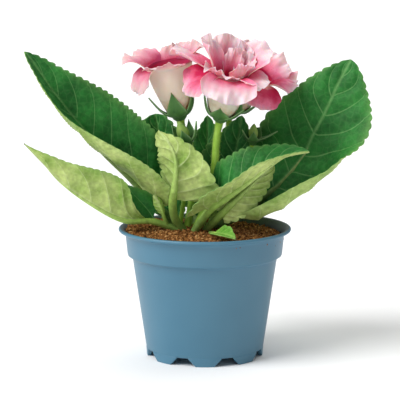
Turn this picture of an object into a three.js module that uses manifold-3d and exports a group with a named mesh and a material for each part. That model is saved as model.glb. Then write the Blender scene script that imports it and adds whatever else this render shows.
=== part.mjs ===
// Potted gloxinia: a flowering house plant in its moulded nursery pot.
// Millimetres, +Z up. The pot stands on z = 0 and the front of the plant looks along -Y.
import * as THREE from "three";
import { mergeVertices } from "three/addons/utils/BufferGeometryUtils.js";
import Module from "manifold-3d";

const wasm = await Module();
wasm.setup();

// ---------------------------------------------------------------- driving dimensions
const gap = 0.3; // clearance between neighbouring pieces

const potHeight = 98;
const rimRadius = 65;
const lipHeight = 2.5;
const potWall = 1.2;
const collarTopRadius = 60.5;
const collarBottomRadius = 58.3;
const collarBottomZ = 77.5;
const bodyTopRadius = 54.8;
const bodyTopZ = 76;
const creaseRadius = 44.5;
const footHeight = 6;
const footCount = 8;
const footTopWidth = 26;
const footBottomWidth = 14;
const footDepth = 3;
const floorThickness = 1.4;
const drainRadius = 3.5;
const drainCircle = 33;
const potSides = 40;
const notchReach = 14; // how far a cutter for a notch between two feet goes inwards
const drainCutter = 8; // length of a cutter for a drain hole

const soilTop = 94;
const soilTilt = 0.045; // the surface falls this much per millimetre towards +X
const soilMound = 2;
const moundX = -10;
const moundSpread = 30; // the mound falls off over this distance

const tuberRadius = 17;
const tuberHeight = 22;
const crown = new THREE.Vector3(-11, 3, 95);

const leafThickness = 1.4;
const petalThickness = 1.3;
const sepalThickness = 1.2;
const bladeEnd = 0.985; // a blade's last row stops short of the tip, where it still has a width
const narrowest = 0.0025; // least share of its full width that a blade comes down to
const veinShare = 0.08; // share of the path that the petiole runs on under the blade
const petalShoulder = 0.4; // share of a petal's length after which its outline rounds off
const sepalSpread = 68; // degrees from the axis at which a sepal leaves the cup
const sepalRise = 0.32; // share of its length over which a sepal turns up to its own lean
const usualProfile = [0.42, 0.7, 0.75, 0.04];

// Leaves. path: midrib from the crown to the tip, with x and y from the pot's axis.
// petiole: share of the path without blade. half: half widths of side A and side B.
// profile: [where it is widest, bluntness of base, bluntness of tip, start].
// face: the way the upper surface looks, base to tip. fold and curl: degrees, base to tip.
// lobe: how far the base of each half reaches back along the petiole.
const leaves = {
  leaf_left_high: {
    path: [
      [-18, 2, 96], [-34, 0, 112], [-53, -6, 135], [-75, -12, 157], [-96, -15, 181],
      [-113, -16, 203], [-124, -14, 219], [-133, -12, 231],
    ],
    petiole: 0.13,
    petioleRadius: 3.2,
    half: [37, 35],
    profileA: [0.38, 0.5, 0.8, 0.05],
    profileB: [0.36, 0.6, 0.85, 0.05],
    face: [[0.67, -0.45, 0.59], [0.67, -0.45, 0.59], [0.6, -0.55, 0.5]],
    foldA: [60, 60, 55, 45, 30],
    curlA: [0],
    foldB: [45, 25, -5, -5, 0],
    curlB: [50, 70, 88, 55, 20],
    lobe: [-0.45, 0],
  },
  leaf_left_low: {
    path: [
      [-18, -6, 96], [-41, -14, 105], [-62, -24, 109], [-85, -30, 122], [-105, -34, 137],
      [-119, -36, 152], [-132, -36, 166],
    ],
    petiole: 0.17,
    petioleRadius: 2.6,
    half: [26, 27],
    profileA: [0.34, 0.7, 1.1, 0.08],
    profileB: [0.36, 3.6, 1.1, 0.01],
    face: [[0.2, 0, 1], [0.2, 0.1, 1], [0.3, 0.1, 1]],
    foldA: [80, 62, 60],
    curlA: [0],
    foldB: [70, 70, 60],
    curlB: [10],
  },
  leaf_front_left: {
    path: [
      [-16, -5, 96], [-22, -10, 105], [-24, -17, 118], [-22, -23, 134], [-21, -26, 150],
      [-25, -26, 163], [-34, -22, 174],
    ],
    petiole: 0.35,
    petioleRadius: 3.2,
    half: [15, 33],
    profileA: [0.5, 0.8, 0.45, 0.04],
    profileB: [0.22, 0.5, 1.25, 0.04],
    face: [[0.1, 1, 0.1], [0.2, 1, 0.1], [0.2, 0.9, -0.2]],
    foldA: [30, 20, 10],
    curlA: [0],
    foldB: [10],
    curlB: [-15],
    lobe: [0.25, 0],
  },
  leaf_front_right: {
    path: [
      [-8, -10, 96], [2, -20, 112], [13, -28, 124], [26, -34, 134], [42, -38, 146],
      [58, -38, 156], [76, -36, 160],
    ],
    petiole: 0.25,
    petioleRadius: 3,
    half: [17, 27],
    profileA: [0.4, 0.7, 0.7, 0.15],
    profileB: [0.35, 0.7, 0.7, 0.15],
    face: [[-0.4, -0.2, 0.9], [-0.4, -0.2, 0.9], [-0.2, -0.2, 1]],
    foldA: [40, 35, 20],
    curlA: [15],
    foldB: [25, 50, 40, 25],
    curlB: [0],
    lobe: [1.05, 0.45],
  },
  leaf_front_right_low: {
    path: [
      [0, -7, 96], [10, -16, 108], [20, -20, 118], [32, -22, 130], [42, -22, 140],
      [51, -20, 148],
    ],
    petiole: 0.3,
    petioleRadius: 3,
    half: [12, 13],
    profileA: [0.4, 0.6, 0.6, 0.04],
    profileB: [0.4, 0.6, 0.6, 0.04],
    face: [[0.2, 0.9, -0.3]],
    foldA: [10],
    curlA: [0],
    foldB: [0],
    curlB: [20],
    lobe: [0.3, 0.3],
  },
  leaf_right_high: {
    path: [
      [2, 4, 97], [24, 4, 105], [43, 3, 119], [60, 2, 135], [74, 4, 152], [81, 6, 166],
      [91, 8, 185], [100, 12, 204], [110, 16, 223],
    ],
    petiole: 0.26,
    petioleRadius: 3.4,
    half: [51, 41],
    profileA: [0.36, 0.36, 0.62, 0.06],
    profileB: [0.42, 0.6, 0.8, 0.04],
    face: [[-0.5, -0.6, 0.5], [-0.35, -0.85, 0.35], [-0.25, -0.9, 0.25]],
    foldA: [-30, -30, -15, 0],
    curlA: [165, 140, 40, 0],
    foldB: [20, 10, 0],
    curlB: [0],
    lobe: [0.35, 0.2],
  },
  leaf_centre: {
    path: [[-6, 12, 95], [0, 22, 119], [1, 30, 141], [2, 36, 159], [2, 40, 178]],
    petiole: 0.1,
    petioleRadius: 2.6,
    half: [19, 17],
    face: [[0, -1, 0.2]],
    foldA: [20],
    curlA: [0],
    foldB: [20],
    curlB: [0],
  },
  leaf_right_centre: {
    path: [[3, 7, 95], [12, 7, 119], [20, 8, 144], [25, 10, 163], [28, 12, 181]],
    petiole: 0.12,
    petioleRadius: 2.6,
    half: [19, 27],
    face: [[0, -1, 0.2]],
    foldA: [20],
    curlA: [0],
    foldB: [20],
    curlB: [0],
  },
  leaf_left_centre: {
    path: [[-20, 10, 95], [-27, 22, 118], [-30, 26, 141], [-34, 30, 159], [-38, 33, 180]],
    petiole: 0.08,
    petioleRadius: 2.6,
    half: [22, 26],
    profileA: [0.5, 0.7, 0.5, 0.04],
    profileB: [0.5, 0.7, 0.45, 0.04],
    face: [[0, -1, 0.2]],
    foldA: [20],
    curlA: [0],
    foldB: [20],
    curlB: [0],
  },
  leaf_rear_left: {
    path: [[-19, 15, 95], [-26, 32, 116], [-33, 49, 134], [-39, 66, 146], [-44, 81, 151]],
    petiole: 0.25,
    petioleRadius: 2.9,
    half: [23, 23],
    face: [[0.2, -0.35, 0.9]],
    foldA: [12],
    curlA: [-15],
    foldB: [12],
    curlB: [-15],
  },
  leaf_rear: {
    path: [[-8, 18, 95], [-7, 40, 108], [-3, 60, 121], [2, 79, 132], [8, 94, 136]],
    petiole: 0.25,
    petioleRadius: 3,
    half: [27, 27],
    face: [[0, -0.4, 0.9]],
    foldA: [12],
    curlA: [-15],
    foldB: [12],
    curlB: [-15],
  },
  leaf_rear_right: {
    path: [[3, 15, 95], [21, 31, 107], [38, 46, 119], [54, 60, 130], [67, 71, 134]],
    petiole: 0.25,
    petioleRadius: 2.9,
    half: [25, 25],
    face: [[-0.35, -0.3, 0.9]],
    foldA: [12],
    curlA: [-15],
    foldB: [12],
    curlB: [-15],
  },
  leaflet_rim: {
    path: [[4, -21, 97], [9, -33, 98.5], [15, -46, 100], [22, -56, 99]],
    petiole: 0.25,
    petioleRadius: 1.4,
    half: [7.5, 7.5],
    face: [[-0.3, -0.5, 1]],
    foldA: [10],
    curlA: [45],
    foldB: [10],
    curlB: [35],
  },
  leaflet_curled: {
    path: [[-26, -8, 96], [-30, -12, 106], [-33, -15, 116], [-38, -16, 125]],
    petiole: 0.5,
    petioleRadius: 1.4,
    half: [6, 6],
    face: [[-0.5, 1, 0.2]],
    foldA: [20],
    curlA: [70],
    foldB: [20],
    curlB: [70],
  },
};

// Flowers. base: where the calyx sits. throat: middle of the mouth of the tube.
// tube: [radius, height] up the outside. Each petal: [azimuth in degrees, 0 at the front and
// 90 to the right, length, half width, half width at the base, lean from the axis at the base,
// lean at the tip, cupping per millimetre].
const flowers = {
  flower_front: {
    base: [11.5, -14, 183],
    throat: [18.5, -27, 222],
    tube: [[5, 0], [9, 3.5], [12.5, 14], [14.5, 37]],
    petals: [
      [2, 26, 21, 12, 72, 150, -0.012], [-58, 26, 16, 11, 88, 172, -0.01],
      [-98, 33, 9.5, 8, 62, 88, 0.012], [-165, 24, 14, 11, 15, 30, 0.02],
      [165, 20, 13, 10, 15, 40, 0.02], [122, 27, 20, 11, 20, 58, 0.01],
      [62, 18, 15, 11, 60, 115, 0],
    ],
    innerTube: [[3, 4], [7.5, 8], [11, 33]],
    innerPetals: [
      [-30, 17, 16, 9, 25, 62, 0.02], [-118, 30, 10, 7, 14, 46, 0.05],
      [165, 21, 8, 7, 4, 14, 0.1], [130, 20, 13, 8, 14, 40, 0.02],
      [52, 20, 11, 8, 10, 26, 0.08],
    ],
    sepals: [
      [-8, 17, 8.5, 16], [-72, 25, 5, 12], [-144, 21, 6.5, 10], [144, 21, 6.5, 10],
      [62, 21, 6, 34],
    ],
  },
  flower_left: {
    base: [-19, -2, 183],
    throat: [-27, -7, 223],
    tube: [[5, 0], [9, 4.5], [15, 24], [17.5, 40]],
    petals: [
      [-10, 10, 16, 12, 30, 75, -0.01], [-118, 21, 20, 13, 22, 96, 0],
      [-62, 20, 13, 11, 105, 178, 0], [170, 12, 17, 12, 20, 50, 0],
      [115, 15, 20, 12, 15, 50, 0.01],
    ],
    sepals: [
      [-8, 27, 7.5, 6], [-82, 26, 4.5, 24], [-150, 22, 6, 12], [140, 22, 6, 12],
      [66, 27, 6, 6],
    ],
  },
  flower_right: {
    base: [22, 16, 186],
    throat: [39, 4, 215],
    tube: [[5, 0], [8, 4], [11.5, 17], [14, 34]],
    petals: [
      [15, 26, 19, 10, 75, 140, -0.01], [95, 22, 19, 10, 25, 100, -0.01],
      [150, 20, 17, 10, 20, 60, 0], [-150, 18, 16, 10, 30, 60, 0],
      [-60, 16, 13, 10, 40, 80, 0],
    ],
    sepals: [
      [0, 22, 7, 10], [-72, 22, 7, 10], [-144, 22, 7, 10], [144, 22, 7, 10], [72, 22, 7, 10],
    ],
  },
};

// Unopened buds: base, tip, radius of the bud and its sepals as above.
const buds = {
  bud_left: {
    base: [-13.5, -12, 164],
    tip: [-19.5, -15, 180],
    radius: 4.5,
    sepals: [
      [0, 17, 5, 8], [-72, 22, 5, 22], [-144, 18, 5, 12], [144, 18, 5, 12], [72, 19, 5, 16],
    ],
  },
  bud_right: {
    base: [36, 5, 163],
    tip: [37, 4, 176],
    radius: 3.5,
    sepals: [
      [0, 12, 4, 14], [-72, 12, 4, 20], [-144, 14, 4, 14], [144, 14, 4, 14], [84, 19, 4.5, 50],
    ],
  },
};

// Stalks: each runs from the crown to the underside of a calyx.
const stalks = {
  pedicel_front: {
    end: "flower_front",
    radius: 2.6,
    path: [[-7, -6, 97], [3, -10, 120], [7, -13, 145], [8.5, -14, 165]],
  },
  pedicel_left: {
    end: "flower_left",
    radius: 2.5,
    path: [[-13, 6, 97], [-9, 8, 125], [-9, 6, 150], [-15, 1, 168]],
  },
  pedicel_right: {
    end: "flower_right",
    radius: 2.4,
    path: [[-3, 14, 96], [4, 17, 122], [12, 19, 150], [18, 19, 170]],
  },
  pedicel_bud_left: {
    end: "bud_left",
    radius: 1.5,
    path: [[-19, 6, 97], [-15, -3, 124], [-11, -9, 150]],
  },
  pedicel_bud_right: {
    end: "bud_right",
    radius: 1.6,
    path: [[6, 14, 96], [25, 12, 125], [33, 7, 148]],
  },
};

// ---------------------------------------------------------------- colours
const paint = (color, roughness) => new THREE.MeshStandardMaterial({ color, roughness, metalness: 0 });
const potPlastic = paint(0x5b8aa5, 0.5);
const potting = paint(0x7a4e2e, 0.95);
const tuberSkin = paint(0x8a6a45, 0.9);
const leafGreen = paint(0x2f7336, 0.55);
const leafYoung = paint(0x8fb84a, 0.6);
const stalkGreen = paint(0x86b83c, 0.6);
const sepalGreen = paint(0x3f7a3c, 0.6);
const petalPink = paint(0xf4a6bf, 0.6);
const petalPale = paint(0xf0c4cf, 0.6);
const budGreen = paint(0x8fb050, 0.6);

// ---------------------------------------------------------------- solids
function solidOf(geometry) {
  const bare = geometry.clone();
  bare.deleteAttribute("normal");
  bare.deleteAttribute("uv");
  const merged = mergeVertices(bare, 1e-4);
  const index = merged.index.array;
  const kept = [];
  for (let i = 0; i < index.length; i += 3) {
    const [a, b, c] = [index[i], index[i + 1], index[i + 2]];
    if (a !== b && b !== c && c !== a) kept.push(a, b, c);
  }
  const mesh = new wasm.Mesh({
    numProp: 3,
    vertProperties: new Float32Array(merged.attributes.position.array),
    triVerts: new Uint32Array(kept),
  });
  mesh.merge();
  return new wasm.Manifold(mesh);
}

function geometryOf(solid) {
  const mesh = solid.getMesh();
  const geometry = new THREE.BufferGeometry();
  geometry.setAttribute("position", new THREE.BufferAttribute(new Float32Array(mesh.vertProperties), 3));
  geometry.setIndex(new THREE.BufferAttribute(new Uint32Array(mesh.triVerts), 1));
  geometry.computeVertexNormals();
  return geometry;
}

function biggest(solid) {
  const bodies = solid.decompose();
  return bodies.reduce((a, b) => (a.volume() > b.volume() ? a : b));
}

// Closed slab between two grids of points: grid[i][j], with `over` on the outer side.
function slab(over, under) {
  const rows = over.length;
  const cols = over[0].length;
  const points = [];
  for (const grid of [over, under]) {
    for (const row of grid) {
      for (const p of row) points.push(p.x, p.y, p.z);
    }
  }
  const at = (layer, i, j) => layer * rows * cols + i * cols + j;
  const faces = [];
  const quad = (a, b, c, d) => faces.push(a, b, c, a, c, d);
  for (let i = 0; i < rows - 1; i++) {
    for (let j = 0; j < cols - 1; j++) {
      quad(at(0, i, j), at(0, i + 1, j), at(0, i + 1, j + 1), at(0, i, j + 1));
      quad(at(1, i, j), at(1, i, j + 1), at(1, i + 1, j + 1), at(1, i + 1, j));
    }
    quad(at(0, i, 0), at(1, i, 0), at(1, i + 1, 0), at(0, i + 1, 0));
    quad(at(0, i, cols - 1), at(0, i + 1, cols - 1), at(1, i + 1, cols - 1), at(1, i, cols - 1));
  }
  for (let j = 0; j < cols - 1; j++) {
    quad(at(0, 0, j), at(0, 0, j + 1), at(1, 0, j + 1), at(1, 0, j));
    quad(at(0, rows - 1, j), at(1, rows - 1, j), at(1, rows - 1, j + 1), at(0, rows - 1, j + 1));
  }
  const geometry = new THREE.BufferGeometry();
  geometry.setAttribute("position", new THREE.BufferAttribute(new Float32Array(points), 3));
  geometry.setIndex(faces);
  const solid = solidOf(geometry);
  return solid.volume() < 0 ? null : solid;
}

function thicken(grid, normals, thickness) {
  const moved = (p, normal, side) => p.clone().addScaledVector(normal, (side * thickness) / 2);
  const shift = (side) => grid.map((row, i) => row.map((p, j) => moved(p, normals[i][j], side)));
  return slab(shift(1), shift(-1)) ?? slab(shift(-1), shift(1));
}

function tube(points, radius, sides = 7, steps = 10) {
  const curve = new THREE.CatmullRomCurve3(points);
  const ring = new THREE.Shape();
  for (let k = 0; k < sides; k++) {
    const angle = (2 * Math.PI * k) / sides;
    const [x, y] = [radius * Math.cos(angle), radius * Math.sin(angle)];
    if (k === 0) ring.moveTo(x, y);
    else ring.lineTo(x, y);
  }
  ring.closePath();
  return solidOf(new THREE.ExtrudeGeometry(ring, { steps, extrudePath: curve }));
}

function lathe(profile, sides) {
  const points = profile.map(([r, z]) => new THREE.Vector2(r, z));
  const turned = new THREE.LatheGeometry(points, sides);
  turned.rotateX(Math.PI / 2);
  let solid = solidOf(turned);
  if (solid.volume() < 0) {
    const flipped = new THREE.LatheGeometry([...points].reverse(), sides);
    flipped.rotateX(Math.PI / 2);
    solid = solidOf(flipped);
  }
  return solid;
}

// Smooth run through any number of values spread evenly from base to tip.
function along(values, u) {
  if (values.length === 1) return values[0];
  const last = values.length - 1;
  const i = Math.min(Math.floor(u * last), last - 1);
  const t = u * last - i;
  const rise = (k) => values[Math.min(k + 1, last)] - values[Math.max(k - 1, 0)];
  const slope = (k) => rise(k) / (k === 0 || k === last ? 1 : 2);
  const [a, b] = [values[i], values[i + 1]];
  const [ma, mb] = [slope(i), slope(i + 1)];
  const [t2, t3] = [t * t, t * t * t];
  return (2 * t3 - 3 * t2 + 1) * a + (t3 - 2 * t2 + t) * ma + (3 * t2 - 2 * t3) * b + (t3 - t2) * mb;
}

// ---------------------------------------------------------------- leaves
const vec = (p) => new THREE.Vector3(p[0], p[1], p[2]);

function bladeWidth([peak, base, tip, start], u) {
  const x = (start + (1 - start) * u) ** (Math.log(0.5) / Math.log(peak));
  const arch = Math.max(Math.sin(Math.PI * Math.min(x, 1)), narrowest);
  return arch ** (x < 0.5 ? base : tip);
}

function leafSolid(leaf, grow) {
  const curve = new THREE.CatmullRomCurve3(leaf.path.map(vec));
  const large = leaf.half[0] + leaf.half[1] > 30;
  const [rows, cols] = large ? [9, 3] : [5, 1];
  const grid = [];
  const normals = [];
  for (let i = 0; i <= rows; i++) {
    const u = (bladeEnd * i) / rows;
    const at = leaf.petiole + (1 - leaf.petiole) * u;
    const middle = curve.getPointAt(at);
    const ahead = curve.getTangentAt(at);
    const face = new THREE.Vector3(...[0, 1, 2].map((k) => along(leaf.face.map((f) => f[k]), u)));
    face.addScaledVector(ahead, -face.dot(ahead)).normalize();
    const across = new THREE.Vector3().crossVectors(face, ahead);
    const row = [];
    const rowNormals = [];
    for (let j = -cols; j <= cols; j++) {
      const side = j < 0 ? "A" : "B";
      const sign = j < 0 ? -1 : 1;
      const s = Math.abs(j) / cols;
      const fold = THREE.MathUtils.degToRad(along(leaf["fold" + side], u));
      const curl = THREE.MathUtils.degToRad(along(leaf["curl" + side], u)) || 1e-3;
      const half = leaf.half[j < 0 ? 0 : 1];
      const lobe = leaf.lobe?.[j < 0 ? 0 : 1] ?? 0;
      const width = half * bladeWidth(leaf["profile" + side] ?? usualProfile, u) + grow;
      const out = (Math.sin(fold + curl * s) - Math.sin(fold)) / curl;
      const up = (Math.cos(fold) - Math.cos(fold + curl * s)) / curl;
      const back = lobe * half * s ** 1.3 * (1 - u) ** 3;
      const p = middle.clone();
      p.addScaledVector(across, sign * width * out);
      p.addScaledVector(face, width * up);
      p.addScaledVector(ahead, (i === 0 ? -2 * grow : i === rows ? 2 * grow : 0) - back);
      row.push(p);
      const turn = j === 0 ? 0 : fold + curl * s;
      const normal = face.clone().multiplyScalar(Math.cos(turn));
      normal.addScaledVector(across, -sign * Math.sin(turn));
      rowNormals.push(normal);
    }
    grid.push(row);
    normals.push(rowNormals);
  }
  const blade = thicken(grid, normals, leafThickness + 2 * grow);
  const stem = [];
  const stemEnd = leaf.petiole + veinShare;
  for (let k = 0; k <= 5; k++) stem.push(curve.getPointAt((stemEnd * k) / 5));
  stem[0].addScaledVector(curve.getTangentAt(0), -grow);
  stem[5].addScaledVector(curve.getTangentAt(stemEnd), grow);
  return tube(stem, leaf.petioleRadius + grow, 7, 5).add(blade);
}

// ---------------------------------------------------------------- flowers
function petal([azimuth, length, half, baseHalf, lean0, lean1, cup], start, grow = 0) {
  const phi = THREE.MathUtils.degToRad(azimuth);
  const out = new THREE.Vector3(Math.cos(phi), Math.sin(phi), 0);
  const across = new THREE.Vector3(-Math.sin(phi), Math.cos(phi), 0);
  const axis = new THREE.Vector3(0, 0, 1);
  const rows = 4;
  const cols = 2;
  let [r, z] = start;
  const grid = [];
  const normals = [];
  for (let i = 0; i <= rows; i++) {
    const u = i / rows;
    const lean = THREE.MathUtils.degToRad(lean0 + (lean1 - lean0) * u);
    const spread = Math.sin((Math.PI / 2) * Math.min(u / 0.5, 1));
    const past = (0.97 * u - petalShoulder) / (1 - petalShoulder);
    const round = u > petalShoulder ? Math.max(1 - past ** 2.6, 0) ** 0.6 : 1;
    const width = (baseHalf + (half - baseHalf) * spread) * round + grow;
    const bend = (1 - u) ** 2 / start[0] + cup;
    const normal = out.clone().multiplyScalar(-Math.cos(lean)).addScaledVector(axis, Math.sin(lean));
    const row = [];
    const rowNormals = [];
    for (let j = -cols; j <= cols; j++) {
      const side = (width * j) / cols;
      const p = out.clone().multiplyScalar(r).addScaledVector(axis, z);
      p.addScaledVector(across, side);
      p.addScaledVector(normal, (side * side * bend) / 2);
      row.push(p);
      rowNormals.push(normal.clone().addScaledVector(across, -side * bend).normalize());
    }
    grid.push(row);
    normals.push(rowNormals);
    r += (Math.sin(lean) * length) / rows;
    z += (Math.cos(lean) * length) / rows;
  }
  return thicken(grid, normals, petalThickness + 2 * grow);
}

function cupShell(profile, wall, grow = 0) {
  const last = profile.length - 1;
  const outer = profile.map(([r, z], i) => [r + grow, i === last ? z + grow : z]);
  const inner = profile
    .slice(1)
    .map(([r, z], i) => [r - wall - grow, i === last - 1 ? z + grow : z + wall]);
  const [floor, inside] = [outer[0][1] - grow, inner[0][1] + grow];
  return lathe([[0, floor], ...outer, ...inner.reverse(), [0, inside]], 12);
}

function corolla(tubeProfile, petals, grow) {
  const mouth = tubeProfile[tubeProfile.length - 1];
  const start = [mouth[0] - petalThickness / 2, mouth[1] - 2];
  let solid = cupShell(tubeProfile, petalThickness, grow);
  for (const one of petals) solid = solid.add(petal(one, start, grow));
  return solid;
}

// One pointed sepal: [azimuth, length, half width, lean from the axis].
function sepal([azimuth, length, half, lean], start, grow) {
  const phi = THREE.MathUtils.degToRad(azimuth);
  const out = new THREE.Vector3(Math.cos(phi), Math.sin(phi), 0);
  const across = new THREE.Vector3(-Math.sin(phi), Math.cos(phi), 0);
  const axis = new THREE.Vector3(0, 0, 1);
  const rows = 4;
  let [r, z] = start;
  const grid = [];
  const normals = [];
  for (let i = 0; i <= rows; i++) {
    const u = i / rows;
    const angle = THREE.MathUtils.degToRad(lean + (sepalSpread - lean) * Math.exp(-((u / sepalRise) ** 2)));
    const width = half * Math.max(Math.sin(Math.PI * (0.22 + 0.78 * u ** 0.75)) ** 1.15, 0.08) + grow;
    const normal = out.clone().multiplyScalar(-Math.cos(angle)).addScaledVector(axis, Math.sin(angle));
    const row = [];
    const rowNormals = [];
    for (let j = -1; j <= 1; j++) {
      const p = out.clone().multiplyScalar(r).addScaledVector(axis, z);
      p.addScaledVector(across, width * j);
      p.addScaledVector(normal, Math.abs(j) * width * 0.25);
      row.push(p);
      rowNormals.push(normal.clone());
    }
    grid.push(row);
    normals.push(rowNormals);
    r += (Math.sin(angle) * length) / rows;
    z += (Math.cos(angle) * length) / rows;
  }
  return thicken(grid, normals, sepalThickness + 2 * grow);
}

function calyx(sepals, radius, grow) {
  const cup = [[0, -4], [radius * 0.6, -4], [radius * 1.05, -2], [radius * 1.15, -gap], [0, -gap]];
  const walls = cup.map(([r, z]) => [r && r + grow, z < -gap ? z - grow : z + grow]);
  let solid = lathe(walls, 10);
  for (const one of sepals) solid = solid.add(sepal(one, [radius * 0.75, -1.2], grow));
  return solid;
}

function budSolid(radius, height, grow) {
  const body = [];
  for (let k = 0; k <= 6; k++) {
    const u = k / 6;
    const r = radius * Math.sin(Math.PI * u ** 0.8) ** 0.8 + grow;
    body.push([k % 6 ? r : 0, u * (height + 2 * grow) - grow]);
  }
  return lathe(body, 10);
}

function frameAt(base, tip) {
  const up = tip.clone().sub(base).normalize();
  const front = new THREE.Vector3(0, -1, 0);
  front.addScaledVector(up, -front.dot(up)).normalize();
  const right = new THREE.Vector3().crossVectors(up, front);
  const turn = new THREE.Matrix4().makeBasis(front, right, up);
  return { position: base, quaternion: new THREE.Quaternion().setFromRotationMatrix(turn) };
}

// ---------------------------------------------------------------- pot and soil
function potSolid() {
  const foot = potHeight - lipHeight;
  const outer = [
    [creaseRadius - 0.5, 0],
    [creaseRadius, footHeight],
    [bodyTopRadius, bodyTopZ],
    [collarBottomRadius, collarBottomZ],
    [collarTopRadius, foot - 2],
    [rimRadius - 1, foot - 0.6],
    [rimRadius, foot + 0.4],
    [rimRadius, potHeight - 0.6],
    [rimRadius - 0.8, potHeight],
  ];
  const inner = [
    [collarTopRadius + 1.2, potHeight],
    [collarTopRadius - potWall, foot - 1.6],
    [collarBottomRadius - potWall, collarBottomZ + 1.2],
    [bodyTopRadius - potWall, bodyTopZ + 0.6],
    [creaseRadius - potWall, footHeight + floorThickness],
  ];
  const underside = [
    [creaseRadius - footDepth, footHeight],
    [creaseRadius - footDepth - 0.5, 0],
  ];
  const profile = [...outer, ...inner, [0, footHeight + floorThickness], [0, footHeight], ...underside];
  let solid = lathe([...profile, profile[0]], potSides);
  for (let k = 0; k < footCount; k++) {
    const angle = ((k + 0.5) * 2 * Math.PI) / footCount - Math.PI / 2;
    const pitch = (2 * Math.PI * creaseRadius) / footCount;
    const notch = new THREE.Shape();
    notch.moveTo(-(pitch - footBottomWidth) / 2, -1);
    notch.lineTo((pitch - footBottomWidth) / 2, -1);
    notch.lineTo((pitch - footTopWidth) / 2, footHeight);
    notch.lineTo(-(pitch - footTopWidth) / 2, footHeight);
    notch.closePath();
    const prism = new THREE.ExtrudeGeometry(notch, { depth: notchReach, bevelEnabled: false });
    prism.rotateX(Math.PI / 2);
    prism.rotateZ(Math.PI / 2);
    prism.translate(creaseRadius - 8, 0, 0);
    prism.rotateZ(angle);
    solid = solid.subtract(solidOf(prism));
    const drain = new THREE.CylinderGeometry(drainRadius, drainRadius, drainCutter, 8);
    drain.rotateX(Math.PI / 2);
    drain.translate(drainCircle, 0, footHeight);
    drain.rotateZ(angle);
    solid = solid.subtract(solidOf(drain));
  }
  return solid;
}

function soilSolid() {
  const bottom = footHeight + floorThickness + gap;
  const side = (z) => {
    const low = creaseRadius - potWall - gap - 0.2;
    const high = bodyTopRadius - potWall - gap - 0.2;
    return low + ((high - low) * (z - bottom)) / (bodyTopZ - bottom);
  };
  const collar = collarBottomRadius - potWall - gap - 0.3;
  const step = [[side(bodyTopZ), bodyTopZ + 1.2], [collar, collarBottomZ + 2.5]];
  const outline = [[0, bottom], [side(bottom), bottom], ...step];
  const rings = [1, 0.7, 0.35, 0];
  const edge = collarTopRadius - potWall - gap - 1.6;
  for (const ring of rings) outline.push([edge * ring, soilTop]);
  const turned = new THREE.LatheGeometry(outline.map(([r, z]) => new THREE.Vector2(r, z)), potSides);
  turned.rotateX(Math.PI / 2);
  const at = turned.attributes.position;
  for (let i = 0; i < at.count; i++) {
    if (at.getZ(i) < soilTop - 0.01) continue;
    const [x, y] = [at.getX(i), at.getY(i)];
    const mound = soilMound * Math.exp(-((x - moundX) ** 2 + y ** 2) / moundSpread ** 2);
    at.setZ(i, soilTop - soilTilt * x + mound);
  }
  return solidOf(turned);
}

function tuberSolid(grow) {
  const profile = [];
  for (let k = 0; k <= 6; k++) {
    const angle = (Math.PI * k) / 6;
    profile.push([(tuberRadius + grow) * Math.sin(angle), -(tuberHeight / 2 + grow) * Math.cos(angle)]);
  }
  profile[0][0] = 0;
  profile[6][0] = 0;
  return lathe(profile, 16).translate([crown.x, crown.y, crown.z + 1 - tuberHeight / 2]);
}

// ---------------------------------------------------------------- assembly
const plant = new THREE.Group();
const placed = []; // grown copies of the pieces already in place, which later pieces stay clear of

// Adds one piece. `solid` and its grown copy `fat` are in the frame of `group`.
function settle(name, solid, fat, material, group = plant) {
  group.updateMatrixWorld(true);
  const matrix = group.matrixWorld;
  let rest = solid.transform(matrix.elements);
  for (const other of placed) rest = rest.subtract(other);
  rest = biggest(rest);
  const local = rest.transform(matrix.clone().invert().elements);
  const mesh = new THREE.Mesh(geometryOf(local), material);
  mesh.name = name;
  group.add(mesh);
  if (fat) placed.push(fat.transform(matrix.elements));
}

function groupAt({ position, quaternion }) {
  const group = new THREE.Group();
  group.position.copy(position);
  group.quaternion.copy(quaternion);
  plant.add(group);
  return group;
}

settle("pot", potSolid(), null, potPlastic);
settle("tuber", tuberSolid(0), tuberSolid(gap), tuberSkin);

for (const [name, leaf] of Object.entries(leaves)) {
  const young = name.startsWith("leaflet") || name === "leaf_front_left";
  settle(name, leafSolid(leaf, 0), leafSolid(leaf, gap), young ? leafYoung : leafGreen);
}

const ends = {};
for (const [name, flower] of Object.entries(flowers)) {
  ends[name] = frameAt(vec(flower.base), vec(flower.throat));
  const group = groupAt(ends[name]);
  const outer = [flower.tube, flower.petals];
  settle(name + "_corolla", corolla(...outer, 0), corolla(...outer, gap), petalPink, group);
  if (flower.innerPetals) {
    const inner = [flower.innerTube, flower.innerPetals];
    settle(name + "_inner_corolla", corolla(...inner, 0), corolla(...inner, gap), petalPale, group);
  }
  const cup = [flower.sepals, flower.tube[0][0]];
  settle(name + "_calyx", calyx(...cup, 0), calyx(...cup, gap), sepalGreen, group);
}

for (const [name, bud] of Object.entries(buds)) {
  const [base, tip] = [vec(bud.base), vec(bud.tip)];
  ends[name] = frameAt(base, tip);
  const group = groupAt(ends[name]);
  const size = [bud.radius, base.distanceTo(tip)];
  settle(name, budSolid(...size, 0), budSolid(...size, gap), budGreen, group);
  const cup = [bud.sepals, bud.radius * 0.8];
  settle(name + "_calyx", calyx(...cup, 0), calyx(...cup, gap), sepalGreen, group);
}

for (const [name, stalk] of Object.entries(stalks)) {
  const { position, quaternion } = ends[stalk.end];
  const up = new THREE.Vector3(0, 0, 1).applyQuaternion(quaternion);
  const top = [8, 4 + gap].map((below) => position.clone().addScaledVector(up, -below));
  const points = [...stalk.path.map(vec), ...top];
  settle(name, tube(points, stalk.radius, 7, 11), tube(points, stalk.radius + gap, 7, 11), stalkGreen);
}

settle("soil", soilSolid(), null, potting);

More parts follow.
